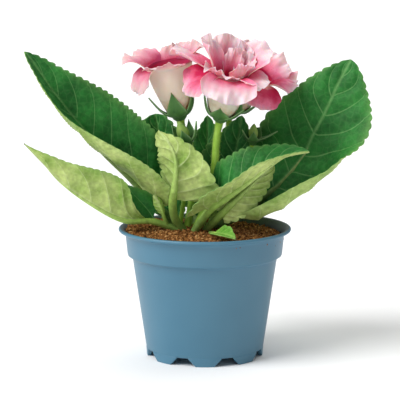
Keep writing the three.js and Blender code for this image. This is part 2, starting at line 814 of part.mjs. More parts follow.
// The origin is at the middle of the plant's outline on the surface that it stands on.
plant.updateMatrixWorld(true);
const outline = new THREE.Box3().setFromObject(plant, true);
const middle = outline.getCenter(new THREE.Vector3());
plant.position.set(-middle.x, -middle.y, -outline.min.z);

export default plant;
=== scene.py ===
# Potted gloxinia: velvety leaves, ruffled pink bells and a moulded blue nursery pot.
import math

import bmesh
import bpy
import numpy as np
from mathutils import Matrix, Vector


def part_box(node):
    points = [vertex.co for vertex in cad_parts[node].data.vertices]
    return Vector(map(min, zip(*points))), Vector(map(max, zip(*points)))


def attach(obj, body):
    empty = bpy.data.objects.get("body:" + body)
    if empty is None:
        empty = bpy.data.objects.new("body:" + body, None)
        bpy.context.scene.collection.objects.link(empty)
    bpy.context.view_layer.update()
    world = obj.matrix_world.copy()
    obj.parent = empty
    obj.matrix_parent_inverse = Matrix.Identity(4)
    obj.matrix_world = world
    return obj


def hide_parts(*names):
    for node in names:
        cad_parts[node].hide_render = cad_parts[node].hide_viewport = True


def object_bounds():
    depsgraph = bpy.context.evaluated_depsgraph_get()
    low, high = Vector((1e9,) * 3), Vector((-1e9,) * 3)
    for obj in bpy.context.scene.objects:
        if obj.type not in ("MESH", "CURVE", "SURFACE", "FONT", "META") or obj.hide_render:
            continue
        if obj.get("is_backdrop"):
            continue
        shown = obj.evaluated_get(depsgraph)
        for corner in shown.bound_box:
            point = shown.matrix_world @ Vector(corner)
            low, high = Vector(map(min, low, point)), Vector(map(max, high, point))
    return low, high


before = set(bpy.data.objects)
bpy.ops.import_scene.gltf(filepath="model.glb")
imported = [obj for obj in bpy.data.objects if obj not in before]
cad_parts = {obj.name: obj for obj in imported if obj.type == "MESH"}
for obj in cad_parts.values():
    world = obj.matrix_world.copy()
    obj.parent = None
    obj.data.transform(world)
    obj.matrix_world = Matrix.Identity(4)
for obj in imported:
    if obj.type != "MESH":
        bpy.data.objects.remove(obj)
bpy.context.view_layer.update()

MM = 0.001
pot_low, pot_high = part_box("pot")
POT_AXIS = np.array([(pot_low[0] + pot_high[0]) / 2, (pot_low[1] + pot_high[1]) / 2, 0.0])
RIM = (pot_high[0] - pot_low[0]) / 2 / MM  # outer radius of the rolled rim, mm
POT_TOP = pot_high[2] / MM


def place(points):
    """Millimetres from the pot's axis and foot, to metres in the part's own frame."""
    return np.asarray(points, float) * MM + POT_AXIS


# ------------------------------------------------------------------ materials
def linear(code):
    """sRGB hex to linear RGBA."""
    parts = [int(code[k : k + 2], 16) / 255 for k in (0, 2, 4)]
    return [c / 12.92 if c <= 0.04045 else ((c + 0.055) / 1.055) ** 2.4 for c in parts] + [1.0]


def node(tree, kind, links=None, output=0, stops=(), **settings):
    """Adds one node and gives one of its outputs.

    links fills its inputs by index or name, from sockets or plain values. stops are the
    positions and colours of a ramp.
    """
    made = tree.nodes.new(kind)
    for key, value in settings.items():
        setattr(made, key, value)
    for key, value in (links or {}).items():
        if isinstance(value, bpy.types.NodeSocket):
            tree.links.new(value, made.inputs[key])
        else:
            made.inputs[key].default_value = value
    while stops and len(made.color_ramp.elements) < len(stops):
        made.color_ramp.elements.new(0.5)
    for element, (position, code) in zip(made.color_ramp.elements if stops else (), stops):
        element.position = position
        element.color = linear(code)
    return made.outputs[output] if len(made.outputs) else made


def per_metre(size):
    """Texture scale that gives features about `size` millimetres across."""
    return 1 / (size * MM)


MIX = dict(output=2, data_type="RGBA")  # a mix of two colours: factor 0, colours 6 and 7
BLACK, WHITE = "000000", "FFFFFF"
MIDRIB_TINT = 1.7  # the midrib's own colour reaches this many mm to each side


def new_material(name, values):
    """A Principled material, with its plain numbers on the shader's own sockets."""
    material = bpy.data.materials.new(name)
    material.use_nodes = True
    tree = material.node_tree
    tree.nodes.clear()
    shader = node(tree, "ShaderNodeBsdfPrincipled", values).node
    node(tree, "ShaderNodeOutputMaterial", {"Surface": shader.outputs[0]})
    return material, tree, shader.inputs, node(tree, "ShaderNodeTexCoord", output="Object")


def mottled(name, values, size, detail, stops):
    """A finish whose colour wanders between its stops in patches about `size` mm across."""
    material, tree, surface, at = new_material(name, values)
    patches = node(tree, "ShaderNodeTexNoise", {"Vector": at, "Scale": per_metre(size), "Detail": detail})
    tone = node(tree, "ShaderNodeValToRGB", {"Fac": patches}, stops=stops)
    tree.links.new(tone, surface["Base Color"])
    return material, tree, surface, at, tone


# Gloxinia leaf: velvety, dark above, pale yellow-green below with raised veins.
def leaf_finish(name, above, below):
    """above and below: dark tone, light tone and vein tone, then the shares of net and veins."""
    material, tree, surface, at = new_material(name, {"Roughness": 0.6, "Specular IOR Level": 0.2})
    field = {
        key: node(tree, "ShaderNodeAttribute", output="Fac", attribute_name=key)
        for key in ("under", "margin", "phase", "side", "off", "pitch", "stem", "deep")
    }
    # fine lateral veins from their phase along the blade, and the midrib from its distance
    phase = node(tree, "ShaderNodeMath", {0: field["phase"], 1: 0.5}, operation="PINGPONG")
    away = node(tree, "ShaderNodeMath", {0: phase, 1: field["pitch"]}, operation="MULTIPLY")
    breadth = node(tree, "ShaderNodeMath", {0: field["side"], 1: -0.6, 2: 0.95}, operation="MULTIPLY_ADD")
    away = node(tree, "ShaderNodeMath", {0: away, 1: breadth}, operation="DIVIDE")
    lateral = node(tree, "ShaderNodeMath", {0: 1.0, 1: away}, operation="SUBTRACT", use_clamp=True)
    away = node(tree, "ShaderNodeMath", {0: field["off"], 1: MIDRIB_TINT}, operation="DIVIDE")
    middle = node(tree, "ShaderNodeMath", {0: 1.0, 1: away}, operation="SUBTRACT", use_clamp=True)
    vein = node(tree, "ShaderNodeMath", {0: lateral, 1: middle}, operation="MAXIMUM")
    cells = node(
        tree, "ShaderNodeTexVoronoi", {"Vector": at, "Scale": per_metre(5)}, feature="DISTANCE_TO_EDGE"
    )
    net = node(tree, "ShaderNodeValToRGB", {"Fac": cells}, stops=[(0.0, WHITE), (0.12, BLACK)])
    cloud = node(tree, "ShaderNodeTexNoise", {"Vector": at, "Scale": per_metre(22), "Detail": 3})
    patch = node(tree, "ShaderNodeValToRGB", {"Fac": cloud}, stops=[(0.35, BLACK), (0.65, WHITE)])
    faces = []
    for dark, light, vein_tone, net_share, vein_share in (above, below):
        tone = node(tree, "ShaderNodeMix", {0: patch, 6: linear(dark), 7: linear(light)}, **MIX)
        for lines, share in ((net, net_share), (vein, vein_share)):
            factor = node(tree, "ShaderNodeMath", {0: lines, 1: share}, operation="MULTIPLY")
            tone = node(tree, "ShaderNodeMix", {0: factor, 6: tone, 7: linear(vein_tone)}, **MIX)
        faces.append(tone)
    both = node(tree, "ShaderNodeMix", {0: field["under"], 6: faces[0], 7: faces[1]}, **MIX)
    # the down along the margin catches the light
    down = node(tree, "ShaderNodeMath", {0: field["margin"], 1: 0.35}, operation="MULTIPLY")
    both = node(tree, "ShaderNodeMix", {0: down, 6: both, 7: linear("8FBF6A")}, **MIX)
    # the petiole's own green; the deep field darkens it with painted shade
    stalk = node(tree, "ShaderNodeMix", {0: field["deep"], 6: linear("A0C858"), 7: linear("436E30")}, **MIX)
    both = node(tree, "ShaderNodeMix", {0: field["stem"], 6: both, 7: stalk}, **MIX)
    speckle = node(tree, "ShaderNodeTexNoise", {"Vector": at, "Scale": per_metre(3), "Detail": 2})
    speckle = node(tree, "ShaderNodeValToRGB", {"Fac": speckle}, stops=[(0.3, "7A7A7A"), (0.7, WHITE)])
    both = node(tree, "ShaderNodeMix", {0: 0.35, 6: both, 7: speckle}, blend_type="MULTIPLY", **MIX)
    tree.links.new(both, surface["Base Color"])
    # pebbled between the finest veins
    pebble = node(tree, "ShaderNodeTexVoronoi", {"Vector": at, "Scale": per_metre(5.5)}, feature="SMOOTH_F1")
    fine = node(tree, "ShaderNodeTexNoise", {"Vector": at, "Scale": per_metre(2), "Detail": 2})
    height = node(tree, "ShaderNodeMath", {0: fine, 1: 0.25, 2: pebble}, operation="MULTIPLY_ADD")
    relief = node(tree, "ShaderNodeBump", {"Height": height, "Distance": 1.6 * MM, "Strength": 0.45})
    tree.links.new(relief, surface["Normal"])
    return material


LEAF = leaf_finish(
    "gloxinia leaf, velvety",
    ("1B6123", "2E8233", "86BC72", 0.07, 0.5),
    ("87AB48", "CADC86", "D8E9A6", 0.12, 0.65),
)
YOUNG = leaf_finish(
    "young gloxinia leaf",
    ("5F9A34", "83B646", "A9CF6C", 0.07, 0.5),
    ("8FB84E", "AFD06A", "D2E29C", 0.12, 0.65),
)


# Gloxinia petal: soft and matte; deep in the throat, pale at the ruffled edge.
def petal_finish(name, deep, mid, edge, back, base):
    softness = {"Specular IOR Level": 0.25, "Subsurface Weight": 0.35, "Subsurface Scale": 4 * MM}
    material, tree, surface, at = new_material(name, {"Roughness": 0.6, **softness})
    reach = node(tree, "ShaderNodeAttribute", output="Fac", attribute_name="reach")
    inside = node(tree, "ShaderNodeAttribute", output="Fac", attribute_name="inside")
    streak = node(tree, "ShaderNodeTexNoise", {"Vector": at, "Scale": per_metre(7), "Detail": 3})
    wander = node(tree, "ShaderNodeMath", {0: streak, 1: 0.35, 2: -0.175}, operation="MULTIPLY_ADD")
    reach = node(tree, "ShaderNodeMath", {0: reach, 1: wander}, operation="ADD", use_clamp=True)
    face = node(
        tree, "ShaderNodeValToRGB", {"Fac": reach},
        stops=[(0.0, "EBD3C2"), (0.2, deep), (0.36, deep), (0.58, mid), (0.9, edge)],
    )
    outside = node(
        tree, "ShaderNodeValToRGB", {"Fac": reach},
        stops=[(0.0, base), (0.2, "E6D6C2"), (0.5, "ECD8CC"), (0.9, back)],
    )
    # small dark flecks round the throat
    flecks = node(tree, "ShaderNodeTexVoronoi", {"Vector": at, "Scale": per_metre(1.5)})
    flecks = node(tree, "ShaderNodeValToRGB", {"Fac": flecks}, stops=[(0.14, WHITE), (0.24, BLACK)])
    zone = node(
        tree, "ShaderNodeValToRGB", {"Fac": reach},
        stops=[(0.36, BLACK), (0.48, WHITE), (0.58, WHITE), (0.74, BLACK)],
    )
    flecks = node(tree, "ShaderNodeMath", {0: flecks, 1: zone}, operation="MULTIPLY")
    flecks = node(tree, "ShaderNodeMath", {0: flecks, 1: 0.45}, operation="MULTIPLY")
    face = node(tree, "ShaderNodeMix", {0: flecks, 6: face, 7: linear(deep)}, **MIX)
    both = node(tree, "ShaderNodeMix", {0: inside, 6: outside, 7: face}, **MIX)
    tree.links.new(both, surface["Base Color"])
    crinkle = node(tree, "ShaderNodeTexNoise", {"Vector": at, "Scale": per_metre(1.6), "Detail": 2})
    relief = node(tree, "ShaderNodeBump", {"Height": crinkle, "Distance": 0.25 * MM, "Strength": 0.35})
    tree.links.new(relief, surface["Normal"])
    return material


PETAL = petal_finish("gloxinia petal, pink", "BE184C", "E87696", "F0CDD2", "E8ABBA", "B5A268")
PETAL_DUSKY = petal_finish("gloxinia petal, dusky pink", "B23058", "D27F95", "DDB7BA", "D5A3AC", "A9A06A")

# Fleshy stalk: bright green, with a faint bloom where its down catches the light.
STALK, *_ = mottled(
    "gloxinia stalk, fleshy", {"Roughness": 0.5, "Sheen Weight": 0.2}, 9, 2,
    [(0.3, "82B22C"), (0.7, "A6D04A")],
)

# Sepal: darker than the stalk, downy, with a light edge.
SEPAL, tree, surface, at, tone = mottled(
    "gloxinia sepal, downy", {"Roughness": 0.6, "Sheen Weight": 0.08}, 8, 2,
    [(0.3, "2F6128"), (0.7, "4F8237")],
)
edge = node(tree, "ShaderNodeAttribute", output="Fac", attribute_name="margin")
edge = node(tree, "ShaderNodeMath", {0: edge, 1: 0.5}, operation="MULTIPLY")
tone = node(tree, "ShaderNodeMix", {0: edge, 6: tone, 7: linear("9FC487")}, **MIX)
tree.links.new(tone, surface["Base Color"])

# Closed bud: the petals are still green.
BUD, *_ = mottled("gloxinia bud, unopened", {"Roughness": 0.6}, 7, 2, [(0.3, "6F9A3C"), (0.7, "A3BE62")])

# Peat and coir: crumbly, quite matte, light fibres among dark crumbs.
SOIL, tree, surface, at, tone = mottled(
    "peat and coir potting mix", {"Roughness": 0.95, "Specular IOR Level": 0.15}, 2.6, 4,
    [(0.3, "38230F"), (0.46, "744A24"), (0.57, "9E6C3A"), (0.7, "D9AE76")],
)
rough = node(tree, "ShaderNodeTexNoise", {"Vector": at, "Scale": per_metre(1.2), "Detail": 3})
relief = node(tree, "ShaderNodeBump", {"Height": rough, "Distance": 0.8 * MM, "Strength": 0.8})
tree.links.new(relief, surface["Normal"])

# Tuber skin: corky and dull.
TUBER, *_ = mottled("gloxinia tuber skin", {"Roughness": 0.9}, 5, 3, [(0.3, "5B4026"), (0.7, "9B7A4E")])

# Injection-moulded polypropylene: satin, with a very fine texture; inside the rim and over its top, painted
# shade and a painted reflection of the soil turn it dark olive.
POT, tree, surface, at, tone = mottled(
    "moulded slate-blue polypropylene", {"Roughness": 0.42, "IOR": 1.49}, 60, 2,
    [(0.3, "42728A"), (0.7, "4A7A91")],
)
# painted shade and a painted reflection of the soil: dark olive inside the rim and over its top
rim_shade_mix = node(tree, "ShaderNodeAttribute", output="Fac", attribute_name="painted_rim_shade")
rim_shade_mix = node(tree, "ShaderNodeMath", {0: rim_shade_mix, 1: 0.75}, operation="MULTIPLY")
tone = node(tree, "ShaderNodeMix", {0: rim_shade_mix, 6: tone, 7: linear("2B2E1C")}, **MIX)
tree.links.new(tone, surface["Base Color"])
rough = node(tree, "ShaderNodeTexNoise", {"Vector": at, "Scale": per_metre(1), "Detail": 2})
relief = node(tree, "ShaderNodeBump", {"Height": rough, "Distance": 0.05 * MM, "Strength": 0.25})
tree.links.new(relief, surface["Normal"])


# ------------------------------------------------------------------ mesh helpers
def mesh_object(name, points, faces, material, smooth=True, **fields):
    """One mesh in the part's frame, from millimetres about the pot's axis."""
    mesh = bpy.data.meshes.new(name)
    mesh.from_pydata(place(points).tolist(), [], [tuple(f) for f in faces])
    for key, values in fields.items():
        layer = mesh.attributes.new(key, "FLOAT", "POINT")
        layer.data.foreach_set("value", np.asarray(values, np.float32))
    mesh.materials.append(material)
    mesh.polygons.foreach_set("use_smooth", [smooth] * len(mesh.polygons))
    mesh.update()
    mesh.set_sharp_from_angle(angle=math.radians(55))
    made = bpy.data.objects.new(name, mesh)
    bpy.context.scene.collection.objects.link(made)
    return made


def adopt(made, slot, *nodes):
    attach(made, "root")
    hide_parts(*nodes)


class Shell:
    """Gathers closed grids into one mesh with the same named fields on every point."""

    def __init__(self, *fields):
        self.points, self.faces, self.count = [], [], 0
        self.fields = {key: [] for key in fields}

    def sheet(self, over, under, over_fields, under_fields):
        """A closed slab between two grids of points of the same shape."""
        rows, cols = over.shape[:2]
        size = rows * cols
        index = np.arange(size).reshape(rows, cols) + self.count
        a, b, c, d = index[:-1, :-1], index[1:, :-1], index[1:, 1:], index[:-1, 1:]
        top = np.stack([a, d, c, b], -1).reshape(-1, 4)
        low = np.stack([a, b, c, d], -1).reshape(-1, 4) + size
        ring = np.concatenate([index[0, :], index[1:, -1], index[-1, -2::-1], index[-2:0:-1, 0]])
        nxt = np.roll(ring, -1)
        wall = np.stack([ring, ring + size, nxt + size, nxt], -1)
        self.points += [over.reshape(-1, 3), under.reshape(-1, 3)]
        self.faces += [top, low, wall]
        self.count += 2 * size
        for key in self.fields:
            for group in (over_fields, under_fields):
                self.fields[key].append(np.broadcast_to(group.get(key, 0.0), (rows, cols)).reshape(-1))

    def closed(self, rings, fields):
        """A closed body from rings of points, capped at both ends."""
        rows, cols = rings.shape[:2]
        index = np.arange(rows * cols).reshape(rows, cols) + self.count
        nxt = np.roll(index, -1, axis=1)
        side = np.stack([index[:-1], nxt[:-1], nxt[1:], index[1:]], -1).reshape(-1, 4)
        self.points += [rings.reshape(-1, 3), rings[0].mean(0)[None], rings[-1].mean(0)[None]]
        first, last = self.count + rows * cols, self.count + rows * cols + 1
        self.faces.append(side)
        caps = [(first, nxt[0, k], index[0, k]) for k in range(cols)]
        caps += [(last, index[-1, k], nxt[-1, k]) for k in range(cols)]
        self.faces.append(caps)
        self.count += rows * cols + 2
        for key in self.fields:
            value = np.broadcast_to(fields.get(key, 0.0), (rows, cols)).reshape(-1)
            self.fields[key] += [value, value[:1], value[-1:]]

    def build(self, name, material):
        faces = [tuple(int(k) for k in f) for group in self.faces for f in group]
        points = np.concatenate(self.points)
        fields = {key: np.concatenate(values) for key, values in self.fields.items()}
        return mesh_object(name, points, faces, material, **fields)


def unit(v):
    return v / np.maximum(np.linalg.norm(v, axis=-1, keepdims=True), 1e-9)


def run(points, count):
    """Evenly spaced points on a smooth curve through the given ones, and its length."""
    p = np.asarray(points, float)
    p = np.vstack([2 * p[0] - p[1], p, 2 * p[-1] - p[-2]])
    t = np.linspace(0, 1, 30, endpoint=False)[:, None]
    bits = []
    for a, b, c, d in zip(p, p[1:], p[2:], p[3:]):
        square, cube = 2 * a - 5 * b + 4 * c - d, 3 * b - a - 3 * c + d
        bits.append(0.5 * (2 * b + (c - a) * t + square * t**2 + cube * t**3))
    q = np.vstack(bits + [p[-2][None]])
    s = np.concatenate([[0], np.cumsum(np.linalg.norm(np.diff(q, axis=0), axis=1))])
    at = np.linspace(0, s[-1], count)
    return np.stack([np.interp(at, s, q[:, k]) for k in range(3)], 1), s[-1]


def ease(values, u):
    """Smooth run through values spread evenly from 0 to 1."""
    v = np.atleast_1d(np.asarray(values, float))
    if len(v) == 1:
        return np.full_like(u, v[0])
    n = len(v) - 1
    m = np.gradient(v)
    i = np.clip((u * n).astype(int), 0, n - 1)
    t = u * n - i
    return (
        (2 * t**3 - 3 * t**2 + 1) * v[i]
        + (t**3 - 2 * t**2 + t) * m[i]
        + (3 * t**2 - 2 * t**3) * v[i + 1]
        + (t**3 - t**2) * m[i + 1]
    )


def ring(radius, turn, height):
    """Points round an upright axis, at the angles in `turn`."""
    return np.stack([radius * np.cos(turn), radius * np.sin(turn), np.full_like(turn, height)], -1)


def tube_rings(path, radii, sides=14):
    """Rings of points round a path, without twist."""
    ahead = unit(np.gradient(path, axis=0))
    side = np.cross(ahead[0], [0.3, 1.0, 0.1])
    rings = []
    turn = np.linspace(0, 2 * np.pi, sides, endpoint=False)
    for p, t, r in zip(path, ahead, radii):
        side = unit(side - side @ t * t)
        other = np.cross(t, side)
        rings.append(p + r * (np.cos(turn)[:, None] * side + np.sin(turn)[:, None] * other))
    return np.array(rings)


# ------------------------------------------------------------------ strewn crumbs and hairs
def strewing_tree():
    """Copies of one small thing strewn over the faces of a mesh, standing along their normals."""
    tree = bpy.data.node_groups.new("strewn copies", "GeometryNodeTree")
    side = tree.interface
    side.new_socket("Geometry", in_out="INPUT", socket_type="NodeSocketGeometry")
    side.new_socket("Geometry", in_out="OUTPUT", socket_type="NodeSocketGeometry")
    for label in ("Copies per square metre", "Smallest", "Largest", "Lowest height", "Tilt"):
        side.new_socket(label, in_out="INPUT", socket_type="NodeSocketFloat")
    side.new_socket("Copied thing", in_out="INPUT", socket_type="NodeSocketObject")
    side.new_socket("Finish", in_out="INPUT", socket_type="NodeSocketMaterial")
    into = node(tree, "NodeGroupInput").node.outputs
    height = node(tree, "ShaderNodeSeparateXYZ", {0: node(tree, "GeometryNodeInputPosition")}, output="Z")
    on_top = node(
        tree, "FunctionNodeCompare", {0: height, 1: into["Lowest height"]}, operation="GREATER_THAN"
    )
    where = {"Mesh": into["Geometry"], "Selection": on_top, "Density": into["Copies per square metre"]}
    spread = node(tree, "GeometryNodeDistributePointsOnFaces", {**where, "Seed": 4}).node.outputs
    sizes = {2: into["Smallest"], 3: into["Largest"], "Seed": 2}
    size = node(tree, "FunctionNodeRandomValue", sizes, output=1, data_type="FLOAT")
    turns = {0: (-1.0, -1.0, -3.1), 1: (1.0, 1.0, 3.1), "Seed": 3}
    lean = node(tree, "FunctionNodeRandomValue", turns, data_type="FLOAT_VECTOR")
    lean = node(tree, "ShaderNodeVectorMath", {0: lean, "Scale": into["Tilt"]}, operation="SCALE")
    stand = node(
        tree, "FunctionNodeRotateRotation", {0: spread["Rotation"], 1: lean}, rotation_space="LOCAL"
    )
    shape = node(tree, "GeometryNodeObjectInfo", {0: into["Copied thing"]}, output="Geometry")
    laid = node(
        tree, "GeometryNodeInstanceOnPoints",
        {"Points": spread["Points"], "Instance": shape, "Rotation": stand, "Scale": size},
    )
    both = node(tree, "GeometryNodeJoinGeometry", {0: laid})
    tree.links.new(into["Geometry"], both.node.inputs[0])
    real = node(tree, "GeometryNodeRealizeInstances", {0: both})
    painted = node(tree, "GeometryNodeSetMaterial", {"Geometry": real, "Material": into["Finish"]})
    node(tree, "NodeGroupOutput", {0: painted})
    return tree


STREWING = strewing_tree()


def strew(made, finish, thing, density, smallest, largest, lowest, tilt):
    """Leaves `made` as a plain mesh with its copies. Sizes in mm, density per square metre."""
    modifier = made.modifiers.new("strewn", "NODES")
    modifier.node_group = STREWING
    values = {
        "Copies per square metre": float(density), "Smallest": smallest * MM, "Largest": largest * MM,
        "Lowest height": lowest * MM, "Tilt": float(tilt), "Copied thing": thing, "Finish": finish,
    }
    for item in STREWING.interface.items_tree:
        if item.in_out == "INPUT" and item.name in values:
            modifier[item.identifier] = values[item.name]
    bpy.context.view_layer.update()
    plain = bpy.data.meshes.new_from_object(made.evaluated_get(bpy.context.evaluated_depsgraph_get()))
    made.modifiers.clear()
    made.data = plain


# One hair: a three-sided spike, of length 1 and a little bent, that the strewing scales.
hair_mesh = bpy.data.meshes.new("hair")
hair_foot = [(0.045, 0, -0.1), (-0.022, 0.039, -0.1), (-0.022, -0.039, -0.1)]
hair_mesh.from_pydata(hair_foot + [(0.1, 0, 1)], [], [(0, 2, 1), (0, 1, 3), (1, 2, 3), (2, 0, 3)])
HAIR = bpy.data.objects.new("hair", hair_mesh)
STALK_HAIRS = dict(thing=HAIR, density=1.5e6, smallest=0.7, largest=1.9, lowest=0, tilt=0.4)
SEPAL_HAIRS = dict(thing=HAIR, density=0.9e6, smallest=0.4, largest=1.2, lowest=0, tilt=0.4)

# ------------------------------------------------------------------ leaves
LEAF_THICK = 1.0
TOOTH = 5.5  # pitch of the scalloped margin, mm
TOOTH_DEPTH = 2.0
MARGIN_WAVE = 1.2  # how far the margin waves up and down, mm
VEIN_HEIGHT = 0.55  # how far the veins stand out below, mm
VEIN_WIDTH = 1.1
MIDRIB_WIDTH = 1.6
MIDRIB_END = 0.8  # share of the blade that the raised midrib runs along
MIDRIB_POINTS = 400
SMALL_LEAF = 12  # leaves with less half width than this are simpler, mm

# path: midrib from the crown to the tip, mm from the pot's axis and foot. petiole: share of the
# path without blade. r: the petiole's radius. half: half widths of side a and side b.
# shape: where the blade is widest, bluntness of base, bluntness of tip, start of the outline.
# face: the way the upper surface looks, base to tip. fold and curl: degrees, base to tip.
# lobe: how far the base of each half reaches back. veins: pairs of lateral veins.
# bulge: swelling between them, mm. scallop: share of the teeth's usual depth. deep: painted shade over the
# whole petiole.
leaves = {
    "leaf_left_high": dict(
        path=[(-18, 2, 96), (-34, 0, 112), (-53, -6, 135), (-75, -12, 157), (-96, -15, 181),
              (-113, -16, 203), (-124, -14, 219), (-133, -12, 231)],
        petiole=0.13, r=3.2, half=(37, 35), shape_a=(0.38, 0.5, 0.8, 0.05), shape_b=(0.36, 0.6, 0.85, 0.05),
        face=[(0.67, -0.45, 0.59), (0.67, -0.45, 0.59), (0.6, -0.55, 0.5)],
        fold_a=[60, 60, 55, 45, 30], curl_a=[0], fold_b=[45, 25, -5, -5, 0], curl_b=[50, 70, 88, 55, 20],
        lobe=(-0.45, 0), deep=1, seed=1,
    ),
    "leaf_left_low": dict(
        path=[(-18, -6, 96), (-41, -14, 105), (-62, -24, 109), (-85, -30, 122), (-105, -34, 137),
              (-119, -36, 152), (-132, -36, 166)],
        petiole=0.17, r=2.6, half=(26, 27), shape_a=(0.34, 0.7, 1.1, 0.08), shape_b=(0.36, 3.6, 1.1, 0.01),
        face=[(0.2, 0, 1), (0.2, 0.1, 1), (0.3, 0.1, 1)],
        fold_a=[80, 62, 60], curl_a=[0], fold_b=[70, 70, 60], curl_b=[10], veins=6, scallop=0.4, seed=2,
    ),
    "leaf_front_left": dict(
        path=[(-16, -5, 96), (-22, -10, 105), (-24, -17, 118), (-22, -23, 134), (-21, -26, 150),
              (-25, -26, 163), (-34, -22, 174)],
        petiole=0.35, r=3.2, half=(15, 33), shape_a=(0.5, 0.8, 0.45, 0.04), shape_b=(0.22, 0.5, 1.25, 0.04),
        face=[(0.1, 1, 0.1), (0.2, 1, 0.1), (0.2, 0.9, -0.2)],
        fold_a=[30, 20, 10], curl_a=[0], fold_b=[10], curl_b=[-15],
        lobe=(0.25, 0.0), veins=5.5, bulge=0.7, seed=3,
    ),
    "leaf_front_right": dict(
        path=[(-8, -10, 96), (2, -20, 112), (13, -28, 124), (26, -34, 134), (42, -38, 146), (58, -38, 156),
              (76, -36, 160)],
        petiole=0.25, r=3.0, half=(17, 27), shape_a=(0.4, 0.7, 0.7, 0.15), shape_b=(0.35, 0.7, 0.7, 0.15),
        face=[(-0.4, -0.2, 0.9), (-0.4, -0.2, 0.9), (-0.2, -0.2, 1)],
        fold_a=[40, 35, 20], curl_a=[15], fold_b=[25, 50, 40, 25], curl_b=[0], lobe=(1.05, 0.45), seed=4,
    ),
    "leaf_front_right_low": dict(
        path=[(0, -7, 96), (10, -16, 108), (20, -20, 118), (32, -22, 130), (42, -22, 140), (51, -20, 148)],
        petiole=0.3, r=3.0, half=(12, 13), shape_a=(0.4, 0.6, 0.6, 0.04), shape_b=(0.4, 0.6, 0.6, 0.04),
        face=[(0.2, 0.9, -0.3)], fold_a=[10], curl_a=[0], fold_b=[0], curl_b=[20], lobe=0.3, seed=5,
    ),
    "leaf_right_high": dict(
        path=[(2, 4, 97), (24, 4, 105), (43, 3, 119), (60, 2, 135), (74, 4, 152), (81, 6, 166),
              (91, 8, 185), (100, 12, 204), (110, 16, 223)],
        petiole=0.26, r=3.4, half=(51, 41),
        shape_a=(0.36, 0.36, 0.62, 0.06), shape_b=(0.42, 0.6, 0.8, 0.04),
        face=[(-0.5, -0.6, 0.5), (-0.35, -0.85, 0.35), (-0.25, -0.9, 0.25)],
        fold_a=[-30, -30, -15, 0], curl_a=[165, 140, 40, 0], fold_b=[20, 10, 0], curl_b=[0],
        lobe=(0.35, 0.2), deep=1, seed=6,
    ),
    "leaf_centre": dict(
        path=[(-6, 12, 95), (0, 22, 119), (1, 30, 141), (2, 36, 159), (2, 40, 178)],
        petiole=0.1, r=2.6, half=(19, 17), face=[(0, -1, 0.2)],
        fold_a=[20], curl_a=[0], fold_b=[20], curl_b=[0], seed=7,
    ),
    "leaf_right_centre": dict(
        path=[(3, 7, 95), (12, 7, 119), (20, 8, 144), (25, 10, 163), (28, 12, 181)],
        petiole=0.12, r=2.6, half=(19, 27), face=[(0, -1, 0.2)],
        fold_a=[20], curl_a=[0], fold_b=[20], curl_b=[0], seed=8,
    ),
    "leaf_left_centre": dict(
        path=[(-20, 10, 95), (-27, 22, 118), (-30, 26, 141), (-34, 30, 159), (-38, 33, 180)],
        petiole=0.08, r=2.6, half=(22, 26), shape_a=(0.5, 0.7, 0.5, 0.04), shape_b=(0.5, 0.7, 0.45, 0.04),
        face=[(0, -1, 0.2)], fold_a=[20], curl_a=[0], fold_b=[20], curl_b=[0], seed=9,
    ),
    "leaf_rear_left": dict(
        path=[(-19, 15, 95), (-26, 32, 116), (-33, 49, 134), (-39, 66, 146), (-44, 81, 151)],
        petiole=0.25, r=2.9, half=(23, 23), face=[(0.2, -0.35, 0.9)],
        fold_a=[12], curl_a=[-15], fold_b=[12], curl_b=[-15], seed=10,
    ),
    "leaf_rear": dict(
        path=[(-8, 18, 95), (-7, 40, 108), (-3, 60, 121), (2, 79, 132), (8, 94, 136)],
        petiole=0.25, r=3.0, half=(27, 27), face=[(0, -0.4, 0.9)],
        fold_a=[12], curl_a=[-15], fold_b=[12], curl_b=[-15], seed=11,
    ),
    "leaf_rear_right": dict(
        path=[(3, 15, 95), (21, 31, 107), (38, 46, 119), (54, 60, 130), (67, 71, 134)],
        petiole=0.25, r=2.9, half=(25, 25), face=[(-0.35, -0.3, 0.9)],
        fold_a=[12], curl_a=[-15], fold_b=[12], curl_b=[-15], seed=12,
    ),
    "leaflet_rim": dict(
        path=[(4, -21, 97), (9, -33, 98.5), (15, -46, 100), (22, -56, 99)],
        petiole=0.25, r=1.4, half=(7.5, 7.5), face=[(-0.3, -0.5, 1)],
        fold_a=[10], curl_a=[45], fold_b=[10], curl_b=[35], seed=13, young=True,
    ),
    "leaflet_curled": dict(
        path=[(-26, -8, 96), (-30, -12, 106), (-33, -15, 116), (-38, -16, 125)],
        petiole=0.5, r=1.4, half=(6, 6), face=[(-0.5, 1, 0.2)],
        fold_a=[20], curl_a=[70], fold_b=[20], curl_b=[70], seed=14, young=True,
    ),
}
USUAL = (0.42, 0.7, 0.75, 0.04)


def half_width(shape, u):
    peak, base, tip, start = shape
    x = (start + (1 - start) * u) ** (math.log(0.5) / math.log(peak))
    arch = np.maximum(np.sin(np.pi * np.minimum(x, 1)), 0.0)
    return np.where(x < 0.5, arch**base, arch**tip)


